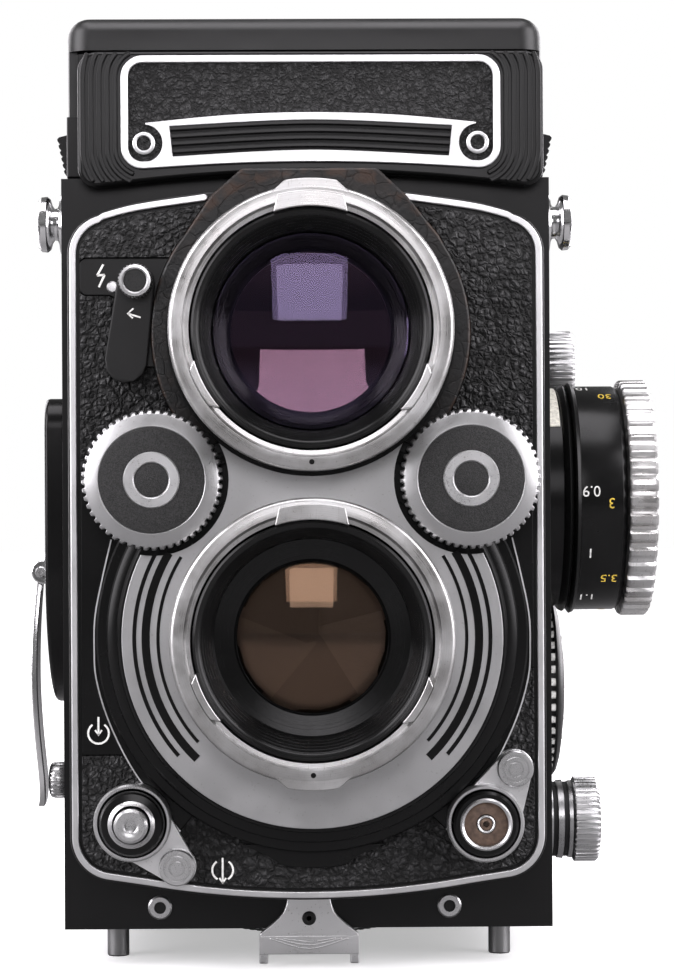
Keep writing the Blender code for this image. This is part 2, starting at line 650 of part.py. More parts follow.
def make_crank_arm():
    """Bowed arm that widens from the fold pin to its tip, with the handle at the end."""
    pin = (CRANK_PIN[0], CRANK_AXIS[0], CRANK_PIN[1])
    outer = []
    inner = []
    for step in range(7):
        z = CRANK_PIN[1] + (CRANK_TIP_Z - CRANK_PIN[1]) * step / 6
        middle = CRANK_PIN[0] - 0.85 * math.sin(math.pi * step / 6) + 0.3 * step / 6
        outer.append((middle - 0.7, z))
        inner.append((middle + 0.7, z))
    narrow = outer[:3] + inner[2::-1]
    wide = outer[1:] + inner[:0:-1]
    arm = prism("crank_arm", narrow, "Y", pin[1] - 1.8, pin[1] + 1.8, CHROME, pin)
    add(arm, prism("arm_tool", wide, "Y", pin[1] - 3.0, pin[1] + 3.0, CHROME))
    add(arm, turned("eye_tool", [(0, pin[1] - 1.8), (1.3, pin[1] - 1.8), (1.3, pin[1] + 1.8),
                                 (0, pin[1] + 1.8)], "Y", CRANK_PIN, CHROME, 16))
    handle = [(0, -44.0), (2.2, -44.0), (2.9, -43.6), (3.1, -41.4), (2.7, -41.0), (0, -41.0)]
    turned("crank_handle", handle, "X", (CRANK_AXIS[0], HANDLE_Z), CHROME, SMALL_ROUND,
           (-43.6, CRANK_AXIS[0], HANDLE_Z))


def make_spools():
    for name, axis, flange in (("feed_spool", FEED_AXIS, 12.4), ("takeup_spool", TAKEUP_AXIS, 11.7)):
        end = SPOOL_HALF - 0.5
        side = [(0, end), (flange, end), (flange, end - 1.0), (5.6, end - 1.0)]
        profile = side + [(r, -x) for r, x in reversed(side)]
        turned(name, profile, "X", axis, SPOOL_BLACK, 24, (0.0, *axis))


# ---------------------------------------------------------------- back and hood

def make_back_door():
    """Hinged back and bottom in one piece, with its feet, film plate and lock."""
    pivot = (0.0, *DOOR_HINGE)
    inner = BODY_DEPTH + GAP
    profile = [(4.7, 5.5), (DOOR_REAR - 2, 5.5), (DOOR_REAR, 7.5), (DOOR_REAR, 113.2),
               (inner, 113.2), (inner, 7.5), (4.7, 7.5)]
    door = prism("back_door", profile, "X", -BODY_HALF, BODY_HALF, BLACK_LACQUER, pivot)
    reach = KNUCKLE_SPLIT[0]
    add(door, box("door_web_tool", (-reach, 64.9, 112), (reach, 66.9, 114.0), BLACK_LACQUER))
    add(door, knuckle("door_knuckle_tool", -reach, reach))
    for x in (-31.0, 31.0):
        for y in (12.0, 60.0):
            foot = cylinder("foot_tool", (x, y), 1.7, "Z", 0.0, 6.0, sides=12)
            add(door, foot)
    bore(door, LOCK_CENTRE, 6.5, "Z", 4, 9, SMALL_ROUND)
    box("pressure_plate", (-30, 61.0, 25), (30, 62.4, 82), BLACK_LACQUER)
    lock = [(0, 8.6), (3.2, 8.6), (3.2, 2.8), (14.6, 2.8), (15.0, 3.2), (15.0, 5.2), (6.2, 5.2),
            (6.2, 9.4), (0, 9.4)]
    turned("back_lock_dial", lock, "Z", LOCK_CENTRE, SATIN_SILVER, ROUND,
           (LOCK_CENTRE[0], LOCK_CENTRE[1], 5.0))


def make_hood():
    """Fixed frame of the hood and the lid that closes over it."""
    inner = HOOD_HALF - HOOD_WALL
    base = box("hood_base", (-HOOD_HALF, HOOD_FRONT, BODY_TOP + GAP),
               (HOOD_HALF, HOOD_REAR, HOOD_FRAME_TOP), BLACK_LACQUER)
    add(base, box("base_front_tool", (-36.2, HOOD_FRONT, 130), (36.2, 3.5, 145.0), BLACK_LACQUER))
    add(base, box("base_rear_tool", (-36.2, 64.5, 130), (36.2, HOOD_REAR, 145.0), BLACK_LACQUER))
    cut(base, box("base_cutter", (-inner, 3.5, 120), (inner, 64.5, 150), BLACK_LACQUER))

    low = HOOD_FRAME_TOP + GAP
    rear = DOOR_REAR - 0.3
    lid = box("hood_lid", (-HOOD_HALF, HOOD_FRONT, 149.3), (HOOD_HALF, rear, HOOD_TOP),
              BLACK_LACQUER, (0.0, *LID_HINGE))
    add(lid, box("lid_lip_tool", (-36.0, HOOD_FRONT, 145.6), (36.0, 2.8, 150), BLACK_LACQUER))
    add(lid, box("lid_rear_tool", (-HOOD_HALF, HOOD_REAR + GAP, low), (HOOD_HALF, rear, 150),
                 BLACK_LACQUER))
    for side in (-1, 1):
        near, far = sorted((side * inner, side * HOOD_HALF))
        add(lid, box("lid_side_tool", (near, 3.8, low), (far, rear, 150), BLACK_LACQUER))


def make_hood_panels():
    """Folding side and rear panels, and the flip-up magnifier with its lens."""
    for side, label in ((-1, "left"), (1, "right")):
        shape = [(0.0, 4.5), (20.0, 4.5), (HOOD_PANEL_REACH, 13.5), (HOOD_PANEL_REACH, 49.6), (12.0, 63.0), (0.0, 63.0)]
        outline = [(side * (SIDE_HINGE[0] - t), y) for t, y in shape]
        prism("hood_side_" + label, outline, "Z", 133.5, 134.5, BLACK_LACQUER,
              (side * SIDE_HINGE[0], 34.0, SIDE_HINGE[1]))
    box("hood_rear", (-33.5, 35.6, 145.5), (33.5, 64.0, 146.5), BLACK_LACQUER, (0.0, *REAR_HINGE))
    magnifier = box("magnifier", (-15, MAGNIFIER_HINGE[0], 147.3), (15, 61.5, 148.7),
                    BLACK_LACQUER, (0.0, *MAGNIFIER_HINGE))
    bore(magnifier, (0.0, MAGNIFIER_Y), MAGNIFIER_RADIUS, "Z", 140, 150)
    edge = MAGNIFIER_RADIUS - GAP
    lens = [(0, 147.3), (edge, 147.6), (edge, 148.4), (0, 148.7)]
    turned("magnifier_lens", lens, "Z", (0.0, MAGNIFIER_Y), CLEAR_GLASS, 24)


def make_hood_locks():
    """Toothed slides on both sides that release the lid."""
    for side, label in ((-1, "left"), (1, "right")):
        near = side * (HOOD_HALF + GAP)
        outline = [(near, 20.0), (near, 32.0)]
        for tooth in range(6):
            y = 32.0 - tooth * 2.0
            outline += [(side * 40.6, y), (side * 41.0, y - 0.5), (side * 41.0, y - 1.2),
                        (side * 40.6, y - 1.7)]
        prism("hood_lock_" + label, outline, "Z", 127.7, 134.7, BLACK_ANODISED,
              (near, 26.0, 131.0))



def main():
    make_body()
    make_mirror_and_screen()
    make_nameplate()
    make_tongue()
    make_strap_lugs()
    make_front_panel()
    make_front_trim()
    make_front_leather()
    make_viewing_bezel()
    make_shutter_housing()
    make_face_plate()
    make_bayonet_rings()
    make_barrels()
    make_glasses()
    make_shutter_blades()
    make_wheels()
    make_timer_and_selector()
    make_release()
    make_sync_socket()
    make_right_side()
    make_crank()
    make_spools()
    make_back_door()
    make_hood()
    make_hood_panels()
    make_hood_locks()


main()
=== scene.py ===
import json
import math
from collections import namedtuple

import bmesh
import bpy
from mathutils import Matrix, Vector


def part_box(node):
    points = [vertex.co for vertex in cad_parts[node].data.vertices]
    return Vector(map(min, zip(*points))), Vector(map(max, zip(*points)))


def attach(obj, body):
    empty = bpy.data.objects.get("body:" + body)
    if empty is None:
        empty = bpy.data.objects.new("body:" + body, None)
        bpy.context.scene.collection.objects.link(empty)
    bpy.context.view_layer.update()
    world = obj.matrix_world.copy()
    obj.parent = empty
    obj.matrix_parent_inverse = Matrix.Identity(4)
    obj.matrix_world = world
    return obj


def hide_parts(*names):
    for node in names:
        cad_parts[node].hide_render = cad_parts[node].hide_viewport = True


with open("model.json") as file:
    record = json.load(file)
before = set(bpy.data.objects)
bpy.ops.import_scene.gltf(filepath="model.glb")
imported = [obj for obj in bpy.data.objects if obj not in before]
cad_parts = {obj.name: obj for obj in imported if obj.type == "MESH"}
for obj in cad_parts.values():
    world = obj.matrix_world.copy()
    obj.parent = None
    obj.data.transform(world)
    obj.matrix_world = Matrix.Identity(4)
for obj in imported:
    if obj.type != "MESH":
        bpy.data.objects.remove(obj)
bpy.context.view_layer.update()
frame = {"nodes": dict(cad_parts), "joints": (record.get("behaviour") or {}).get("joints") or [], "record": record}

MM = 0.001

# The design frame: X from the body's middle, Y from the body's front face, Z from the feet.
BODY_LOW, BODY_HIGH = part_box("body_casting")
ORIGIN = Vector(((BODY_LOW.x + BODY_HIGH.x) / 2, BODY_LOW.y, 0.0))

Finish = namedtuple("Finish", "material slot")   # a Blender material and the record's material slot
Axle = namedtuple("Axle", "axis centre body")    # what a turned piece turns about and rides on


def here(point):
    """A design point in millimetres as a place in the frame, in metres."""
    return Vector(point) * MM + ORIGIN


def corner(node, which):
    """Lowest (0) or highest (1) corner of a CAD node in design millimetres."""
    return (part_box(node)[which] - ORIGIN) / MM


def middle(node):
    """Centre of a CAD node in design millimetres."""
    low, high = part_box(node)
    return ((low + high) / 2 - ORIGIN) / MM


def centre_of(node, axis="Y"):
    """Centre of a CAD node as seen along an axis: (Y, Z), (X, Z) or (X, Y)."""
    return tuple(value for name, value in zip("XYZ", middle(node)) if name != axis)


# ---------------------------------------------------------------- driving places

FRONT = "front_standard"
BODY = "camera_body"
SIDES = ((-1, "left"), (1, "right"))
LENS_X, VIEW_Z = centre_of("viewing_bayonet_ring")
TAKE_Z = middle("taking_bayonet_ring").z
VIEWING = Axle("Y", (LENS_X, VIEW_Z), FRONT)
TAKING = Axle("Y", (LENS_X, TAKE_Z), FRONT)
RING_FRONT = corner("viewing_bayonet_ring", 0).y
COVER_FRONT = corner("front_leather", 0).y
PLATE_FRONT = corner("shutter_face_plate", 0).y
PANEL_FRONT = corner("front_panel", 0).y
PANEL_SKIN = PANEL_FRONT - 0.05      # back of the pieces that lie on the front panel
BODY_HALF = corner("body_casting", 1).x
NAME_X = middle("nameplate_housing").x
NAME_FRONT = corner("nameplate_housing", 0).y
WHEELS = {name: centre_of(name) for name in ("shutter_speed_wheel", "aperture_wheel")}
RELEASE = centre_of("release_button")
SOCKET = centre_of("sync_socket")
FOCUS = centre_of("focus_knob", "X")
FOCUS_RADIUS = 18.92                 # where the focusing scale's numbers stand
RING_BORE = 22.1                     # round the viewing ring
SHUTTER_BORE = 33.3                  # round the shutter
WHEEL_BORE = 9.3                     # round each setting wheel
SMOOTH_END = {-1: 34.8, 1: 47.9}     # height where the leather starts beside the shutter, on each side
FRAME_HALF = 26.4                    # the name frame's corner arcs: their centres' distance from its middle,
FRAME_LOW, FRAME_HIGH = 129.4, 140.4     # and their heights


# ---------------------------------------------------------------- material helpers

def grey(tone):
    return (tone, tone, tone)


def tinted(tone, *parts):
    return tuple(tone * part for part in parts)


class Shade:
    """A Principled material whose node tree is built with short calls."""

    def __init__(self, name, color, roughness, metallic=0.0, specular=0.5):
        self.material = bpy.data.materials.new(name)
        self.material.use_nodes = True
        self.tree = self.material.node_tree
        self.shader = self.tree.nodes["Principled BSDF"]
        self.set("Base Color", (*color, 1.0))
        self.set("Roughness", roughness)
        self.set("Metallic", metallic)
        self.set("Specular IOR Level", specular)

    def node(self, kind, **settings):
        item = self.tree.nodes.new("ShaderNode" + kind)
        for key, value in settings.items():
            setattr(item, key, value)
        return item

    def feed(self, slot, value):
        """Link an output to a socket, or set the socket to a constant."""
        if isinstance(value, bpy.types.NodeSocket):
            self.tree.links.new(value, slot)
        else:
            slot.default_value = value

    def set(self, name, value):
        self.feed(self.shader.inputs[name], value)

    def place(self):
        """Position in metres in the piece's own frame."""
        return self.node("TexCoord").outputs["Object"]

    def noise(self, scale, detail=4.0, rough=0.55, where=None, distance=None):
        """Noise over the piece, or along a distance where one is given."""
        item = self.node("TexNoise", noise_dimensions="1D" if distance else "3D")
        item.inputs["Scale"].default_value = scale
        item.inputs["Detail"].default_value = detail
        item.inputs["Roughness"].default_value = rough
        if distance:
            self.feed(item.inputs["W"], distance)
        else:
            self.feed(item.inputs["Vector"], where or self.place())
        return item.outputs["Fac"]

    def cells(self, scale, where):
        """Distance to the nearest border between random cells."""
        item = self.node("TexVoronoi", feature="DISTANCE_TO_EDGE")
        item.inputs["Scale"].default_value = scale
        self.feed(item.inputs["Vector"], where)
        return item.outputs["Distance"]

    def spread(self, value, low_out, high_out, low_in=0.3, high_in=0.7):
        """A range of the value stretched to another range."""
        item = self.node("MapRange", clamp=True)
        inputs = (value, low_in, high_in, low_out, high_out)
        for name, setting in zip(("Value", "From Min", "From Max", "To Min", "To Max"), inputs):
            self.feed(item.inputs[name], setting)
        return item.outputs["Result"]

    def math(self, operation, one, two):
        item = self.node("Math", operation=operation)
        self.feed(item.inputs[0], one)
        self.feed(item.inputs[1], two)
        return item.outputs["Value"]

    def add(self, one, two):
        return self.math("ADD", one, two)

    def times(self, one, two):
        return self.math("MULTIPLY", one, two)

    def larger(self, one, two):
        return self.math("MAXIMUM", one, two)

    def mix(self, factor, one, two):
        item = self.node("Mix", data_type="RGBA")
        self.feed(item.inputs["Factor"], factor)
        for name, value in (("A", one), ("B", two)):
            self.feed(item.inputs[name], (*value, 1.0) if isinstance(value, tuple) else value)
        return item.outputs["Result"]

    def vector(self, operation, one, two=None):
        item = self.node("VectorMath", operation=operation)
        self.feed(item.inputs[0], one)
        if two is not None:
            self.feed(item.inputs["Scale" if operation == "SCALE" else 1], two)
        return item.outputs["Value" if operation == "LENGTH" else "Vector"]

    def stretched(self, scale):
        """Place multiplied by a different number along each axis."""
        return self.vector("MULTIPLY", self.place(), scale)

    def warped(self, scale, amount):
        """Place pushed about by noise."""
        shake = self.node("TexNoise")
        shake.inputs["Scale"].default_value = scale
        self.feed(shake.inputs["Vector"], self.place())
        return self.vector("ADD", self.place(), self.vector("SCALE", shake.outputs["Color"], amount))

    def radius(self, axis, centre):
        """Distance in metres from an axis through a design point."""
        offset = self.vector("SUBTRACT", self.place(), here(centre))
        across = [0.0 if name == axis else 1.0 for name in "XYZ"]
        return self.vector("LENGTH", self.vector("MULTIPLY", offset, across))

    def edges(self, low, high):
        """One on outer edges, zero elsewhere."""
        return self.spread(self.node("NewGeometry").outputs["Pointiness"], 0.0, 1.0, low, high)

    def bump(self, height, strength, distance):
        item = self.node("Bump")
        item.inputs["Strength"].default_value = strength
        item.inputs["Distance"].default_value = distance * MM
        self.feed(item.inputs["Height"], height)
        self.set("Normal", item.outputs["Normal"])


def make_leather(name, grain, tone, strength):
    """Pebbled black leather: rounded grains parted by creases, shiny on top and dull below, with painted shade
    darkening the creases and a painted sheen lightening the grain tops.
    """
    s = Shade(name, grey(tone), 0.5, 0.0, 0.4)
    where = s.warped(grain * 0.9, 0.0009)
    grains = s.spread(s.cells(grain, where), 0.0, 1.0, 0.0, 0.28)
    creases = s.spread(s.cells(grain * 0.42, where), 0.0, 1.0, 0.0, 0.2)
    height = s.add(s.times(grains, 0.55), s.times(creases, 0.6))
    height = s.add(height, s.times(s.noise(grain * 5, 3.0), 0.12))
    top = s.spread(height, 0.0, 1.0, 0.5, 1.15)
    # Colour follows the grain height: painted shade in the creases and painted sheen on the grain tops.
    s.set("Base Color", s.mix(top, grey(tone * 0.3), tinted(tone, 2.2, 2.2, 2.3)))
    s.set("Roughness", s.add(s.spread(top, 0.75, 0.33, 0.0, 1.0), s.spread(s.noise(120.0), -0.05, 0.1)))
    s.bump(height, strength, 0.5)
    return s.material


def make_paint(name, tone, gloss, specular):
    """Black lacquer with faint orange peel and dust."""
    s = Shade(name, grey(tone), gloss, 0.0, specular)
    patches = s.noise(70.0, 5.0, 0.6)
    dust = s.spread(s.noise(4200.0, 2.0), 0.0, 0.12, 0.72, 0.78)
    dark = s.mix(patches, tinted(tone, 0.8, 0.8, 0.82), grey(tone * 1.3))
    s.set("Base Color", s.mix(dust, dark, (0.2, 0.2, 0.19)))
    s.set("Roughness", s.spread(patches, gloss * 0.9, gloss * 1.12))
    s.bump(s.noise(1400.0, 2.0), 0.05, 0.06)
    return s.material


def make_satin(name, tone, rough, grain=(6000.0, 6000.0, 6000.0), marks=0.35):
    """Satin chrome: fine grain, faint smears, tiny dark pits."""
    s = Shade(name, grey(tone), rough, 1.0)
    fine = s.noise(1.0, 4.0, 0.7, s.stretched(grain))
    smear = s.noise(110.0, 5.0, 0.6)
    pits = s.spread(s.noise(2600.0, 2.0), 0.0, marks, 0.66, 0.74)
    base = s.mix(smear, grey(tone * 0.9), tinted(tone, 1.08, 1.08, 1.09))
    s.set("Base Color", s.mix(pits, base, (0.16, 0.14, 0.12)))
    s.set("Roughness", s.add(s.spread(smear, rough * 0.8, rough * 1.25), s.spread(fine, -0.06, 0.08)))
    s.bump(fine, 0.12, 0.03)
    return s.material


def make_turned_metal(name, axis, centre, tone, rough):
    """Metal with the circular marks of a lathe round an axis."""
    s = Shade(name, grey(tone), rough, 1.0)
    rings = s.noise(9000.0, 3.0, 0.8, distance=s.radius(axis, centre))
    smear = s.noise(130.0, 5.0, 0.6)
    pits = s.spread(s.noise(2300.0, 2.0), 0.0, 0.4, 0.66, 0.74)
    base = s.mix(s.spread(smear, 0.0, 1.0), tinted(tone, 0.72, 0.7, 0.68), grey(tone * 1.15))
    scratch = s.spread(s.noise(1.0, 2.0, 0.6, s.stretched((5000.0, 900.0, 350.0))), 0.0, 0.35, 0.62, 0.7)
    line = s.times(scratch, s.spread(smear, 0.0, 1.0, 0.4, 0.6))
    base = s.mix(s.spread(rings, 0.0, 0.3, 0.35, 0.65), base, grey(tone * 0.55))
    s.set("Base Color", s.mix(s.larger(pits, line), base, (0.14, 0.12, 0.1)))
    s.set("Roughness", s.add(s.spread(smear, rough * 0.75, rough * 1.35), s.spread(rings, -0.08, 0.1)))
    s.bump(rings, 0.2, 0.03)
    return s.material


def make_anodised(name, axis, centre, tone, rough):
    """Black anodised aluminium with turning marks that catch the light."""
    s = Shade(name, grey(tone), rough, 0.0, 0.22)
    rings = s.noise(7000.0, 3.0, 0.8, distance=s.radius(axis, centre))
    patches = s.noise(160.0)
    s.set("Base Color", s.mix(patches, grey(tone * 0.7), grey(tone * 1.8)))
    s.set("Roughness", s.add(s.spread(rings, rough * 0.8, rough * 1.3), s.spread(patches, -0.04, 0.05)))
    s.bump(rings, 0.25, 0.03)
    return s.material


def make_glass(name, tint, inside, clear, ior=1.5):
    """Coated glass: tinted reflections over a clear inside, or over an opaque dark base that is painted shade,
    with sparse dust.
    """
    s = Shade(name, inside, 0.0, 0.0, 0.55)
    s.set("Specular Tint", (*tint, 1.0))
    s.set("IOR", ior)
    s.set("Transmission Weight", clear)
    dust = s.spread(s.noise(1900.0, 2.0), 0.0, 0.3, 0.74, 0.79)
    s.set("Base Color", s.mix(dust, inside, (0.3, 0.29, 0.3)))
    return s.material


def make_grain(name, tone):
    """Fine sandpaper-like black, as on the wheels."""
    s = Shade(name, grey(tone), 0.6, 0.0, 0.3)
    grain = s.noise(5200.0, 3.0, 0.7)
    s.set("Base Color", s.mix(s.spread(grain, 0.0, 1.0, 0.35, 0.7), grey(tone * 0.4), grey(tone * 2.6)))
    s.set("Roughness", s.spread(grain, 0.75, 0.45))
    s.bump(grain, 0.7, 0.15)
    return s.material


def make_blade_steel(name, tone):
    """Blued shutter steel: warm dark grey with long fine grain."""
    s = Shade(name, grey(tone), 0.5, 0.5)
    grain = s.noise(1.0, 3.0, 0.6, s.stretched((900.0, 900.0, 6000.0)))
    s.set("Base Color", s.mix(grain, tinted(tone * 0.75, 1, 0.8, 0.68), tinted(tone * 1.3, 1, 0.82, 0.7)))
    s.set("Roughness", s.spread(grain, 0.45, 0.6))
    return s.material


def make_insulator(name):
    """Brown moulded plug with a dull, slightly stained face."""
    s = Shade(name, (0.09, 0.05, 0.03), 0.5)
    stain = s.noise(900.0)
    share = s.spread(stain, 0.0, 1.0, 0.35, 0.65)
    s.set("Base Color", s.mix(share, (0.12, 0.075, 0.05), (0.05, 0.028, 0.018)))
    s.set("Roughness", s.spread(stain, 0.4, 0.6))
    s.bump(stain, 0.1, 0.05)
    return s.material


def make_ink(name, color):
    """Engraved and filled mark: paint with a slightly uneven tone."""
    s = Shade(name, color, 0.55)
    wear = s.noise(1800.0, 3.0)
    faded = tuple(part * 0.6 for part in color)
    s.set("Base Color", s.mix(s.spread(wear, 0.0, 1.0, 0.35, 0.7), color, faded))
    s.set("Roughness", s.spread(wear, 0.45, 0.65))
    return s.material


def make_leatherette(name):
    """Worn smooth cover of the viewing band: cracks, and brown where its rim is rubbed."""
    s = Shade(name, grey(0.005), 0.42, 0.0, 0.35)
    rim = s.spread(s.radius("Y", (LENS_X, 0, VIEW_Z)), 0.0, 1.0, 0.0240, 0.0246)
    lines = s.spread(s.cells(330.0, s.warped(300.0, 0.002)), 1.0, 0.0, 0.0, 0.05)
    brown = s.times(rim, s.spread(s.noise(420.0, 5.0), 0.0, 1.0, 0.42, 0.58))
    edge = s.times(s.edges(0.52, 0.58), s.spread(s.noise(300.0, 5.0), 0.0, 1.0, 0.45, 0.6))
    share = s.larger(s.times(brown, 0.55), s.times(edge, 0.25))
    s.set("Base Color", s.mix(s.times(share, 0.8), grey(0.005), (0.05, 0.022, 0.010)))
    s.set("Roughness", s.spread(s.noise(200.0), 0.34, 0.5))
    s.bump(s.add(s.times(lines, -0.5), s.noise(1500.0, 3.0)), 0.35, 0.2)
    return s.material


# ---------------------------------------------------------------- finishes

def black(name, tone, gloss, specular=0.3):
    return Finish(make_paint(name, tone, gloss, specular), "black_lacquer")


def silver(name, tone, rough, *marks):
    return Finish(make_satin(name, tone, rough, *marks), "satin_silver")


def lathe_silver(name, line, tone, rough):
    """The line is an axis and a point on it."""
    return Finish(make_turned_metal(name, *line, tone, rough), "satin_silver")


def lathe_black(name, line, tone, rough):
    return Finish(make_anodised(name, *line, tone, rough), "black_anodised")


def glass(name, *look):
    return Finish(make_glass(name, *look), "lens_glass")


def ink(name, color):
    return Finish(make_ink(name, color), "satin_silver")


VIEW_AXIS = ("Y", (LENS_X, 0, VIEW_Z))
TAKE_AXIS = ("Y", (LENS_X, 0, TAKE_Z))
FOCUS_AXIS = ("X", (0, *FOCUS))
LEATHER = Finish(make_leather("leather", 980.0, 0.006, 1.0), "black_leather")
LEATHER_FINE = Finish(make_leather("leather_fine", 1500.0, 0.006, 0.8), "black_leather")
LEATHER_CORE = LEATHER_FINE._replace(slot="black_lacquer")
BAND = Finish(make_leatherette("band_leatherette"), "black_leather")
PAINT = black("black_paint", 0.004, 0.36, 0.25)
MATT = black("black_matt", 0.006, 0.55)
MATT_METAL = MATT._replace(slot="black_anodised")
GLOSS = black("black_gloss", 0.003, 0.25, 0.22)
GLOSS_METAL = GLOSS._replace(slot="black_anodised")
LID_PAINT = black("lid_paint", 0.007, 0.42, 0.42)
INNER = black("inner_flock", 0.003, 0.9, 0.1)._replace(slot="black_anodised")
SHUTTER_BLACK = black("shutter_black", 0.003, 0.26, 0.18)._replace(slot="black_anodised")
FROSTED = black("frosted_screen", 0.55, 0.5, 0.5)
SATIN = silver("satin_chrome", 0.62, 0.3)
SATIN_CHROME = SATIN._replace(slot="chrome")
WHEEL_SATIN = silver("wheel_satin", 0.45, 0.36)
FACE = silver("face_plate", 0.46, 0.45, (9000.0, 9000.0, 9000.0), 0.25)
TRIM = silver("trim_line", 0.72, 0.38, (5000.0, 5000.0, 5000.0), 0.15)
STEEL = silver("foot_steel", 0.4, 0.35, (5000.0, 5000.0, 800.0), 0.3)
BRUSHED = silver("brushed_steel", 0.8, 0.34, (300.0, 9000.0, 9000.0), 0.4)
CHROME = silver("chrome", 0.82, 0.14, (4000.0, 4000.0, 4000.0), 0.2)._replace(slot="chrome")
GRAIN = Finish(make_grain("wheel_grain", 0.010), "black_anodised")
GRAIN_PAD = GRAIN._replace(slot="black_leather")
GRIP = lathe_silver("focus_grip_metal", FOCUS_AXIS, 0.8, 0.3)
RINGS = {"viewing": lathe_silver("viewing_ring_metal", VIEW_AXIS, 0.56, 0.34),
         "taking": lathe_silver("taking_ring_metal", TAKE_AXIS, 0.5, 0.34)}
FOCUS_BLACK = lathe_black("focus_black", FOCUS_AXIS, 0.003, 0.28)
REMINDER_BLACK = lathe_black("reminder_black", ("X", middle("reminder_dial")), 0.004, 0.3)
VIEW_BLACK = lathe_black("viewing_black", VIEW_AXIS, 0.003, 0.22)
TAKE_BLACK = lathe_black("taking_black", TAKE_AXIS, 0.003, 0.22)
CLEAR = glass("clear_glass", grey(1.0), (0.98, 0.99, 0.98), 1.0)
COAT_VIEW = glass("viewing_coating", (0.5, 0.42, 0.7), (0.85, 0.8, 0.9), 1.0)
# Opaque near-black base with no transmission: painted shade standing for the dark inside of the lens behind this
# glass.
COAT_REAR = glass("viewing_inner_coating", (0.85, 0.52, 0.62), (0.004, 0.001, 0.003), 0.0, 1.75)
COAT_TAKE = glass("taking_coating", (0.9, 0.58, 0.38), (0.85, 0.77, 0.72), 1.0)
MIRROR = glass("mirror_silver", grey(1.0), grey(0.9), 0.0)
MIRROR.material.node_tree.nodes["Principled BSDF"].inputs["Metallic"].default_value = 1.0
WHITE_INK = ink("white_ink", (0.75, 0.75, 0.72))
YELLOW_INK = ink("yellow_ink", (0.75, 0.52, 0.05))
CREAM = ink("cream_dial", (0.78, 0.76, 0.66))._replace(slot="clear_glass")
AMBER = Finish(make_insulator("insulator"), "satin_silver")


# ---------------------------------------------------------------- mesh helpers

def show(name, data):
    """A new object in the scene."""
    item = bpy.data.objects.new(name, data)
    bpy.context.scene.collection.objects.link(item)
    return item


def take_mesh(name, bm):
    """A new mesh from a bmesh, which is freed."""
    mesh = bpy.data.meshes.new(name)
    bm.to_mesh(mesh)
    bm.free()
    return mesh


def round_edges(item, width, segments, angle):
    edge = item.modifiers.new("edge", "BEVEL")
    edge.width = width * MM
    edge.segments = segments
    edge.limit_method = "ANGLE"
    edge.angle_limit = math.radians(angle)
    edge.harden_normals = True


def finish_piece(name, bm, finish, body, bevel=0.0, node=None, angle=35.0):
    """A bmesh in design millimetres becomes a piece that rides on a body and may replace a node."""
    bmesh.ops.recalc_face_normals(bm, faces=bm.faces)
    for vertex in bm.verts:
        vertex.co = here(vertex.co)
    mesh = take_mesh(name, bm)
    mesh.materials.append(finish.material)
    mesh.shade_smooth()
    mesh.set_sharp_from_angle(angle=math.radians(angle))
    piece = show(name, mesh)
    if bevel > 0:
        round_edges(piece, bevel, 3, angle)
    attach(piece, body)
    if node:
        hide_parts(node)
    return piece


def to_space(axis, across, up, along):
    if axis == "X":
        return (along, across, up)
    if axis == "Y":
        return (across, along, up)
    return (across, up, along)


def groove(turn):
    """Tooth wave over one turn: 0 on a tooth's top, 1 in the gap."""
    phase = turn % 1.0
    if phase < 0.45:
        return 0.0
    if phase < 0.6:
        return (phase - 0.45) / 0.15
    if phase < 0.85:
        return 1.0
    return (1.0 - phase) / 0.15


def turned(name, profile, axle, finish, sides=96, teeth=0, depth=0.0, node=None):
    """Turned piece from (radius, along[, tooth share]) points; teeth cut grooves of a depth."""
    bm = bmesh.new()
    if teeth:
        sides = teeth * 8
    rings = []
    for radius, along, *share in profile:
        ring = []
        for step in range(sides if radius > 0 else 1):
            turn = 2 * math.pi * step / sides
            reach = radius
            if share:
                reach -= depth * share[0] * groove(teeth * step / sides)
            across = axle.centre[0] + reach * math.cos(turn)
            up = axle.centre[1] + reach * math.sin(turn)
            ring.append(bm.verts.new(to_space(axle.axis, across, up, along)))
        rings.append(ring)
    pairs = list(zip(rings, rings[1:]))
    if profile[0][0] > 0:
        pairs.append((rings[-1], rings[0]))
    for one, two in pairs:
        for step in range(sides):
            after = (step + 1) % sides
            corners = [one[step % len(one)], one[after % len(one)]]
            corners += [two[after % len(two)], two[step % len(two)]]
            bm.faces.new(list(dict.fromkeys(corners)))
    return finish_piece(name, bm, finish, axle.body, node=node)


def extrude(bm, faces, way):
    grown = bmesh.ops.extrude_face_region(bm, geom=faces)
    moved = [item for item in grown["geom"] if isinstance(item, bmesh.types.BMVert)]
    bmesh.ops.translate(bm, verts=moved, vec=Vector(way))


def prism(name, outline, low, high, finish, body=FRONT, bevel=0.0, holes=(), node=None, axis="Y"):
    """Outline with round or other holes, extruded along an axis."""
    bm = bmesh.new()
    edges = []
    for loop in (outline, *holes):
        verts = [bm.verts.new(to_space(axis, a, b, low)) for a, b in loop]
        for one, two in zip(verts, verts[1:] + verts[:1]):
            edges.append(bm.edges.new((one, two)))
    if holes:
        bmesh.ops.triangle_fill(bm, use_beauty=True, edges=edges)
        bmesh.ops.dissolve_limit(bm, angle_limit=0.001, verts=bm.verts, edges=bm.edges)
        faces = list(bm.faces)
    else:
        faces = [bm.faces.new(list(bm.verts))]
    extrude(bm, faces, to_space(axis, 0.0, 0.0, high - low))
    return finish_piece(name, bm, finish, body, bevel, node)


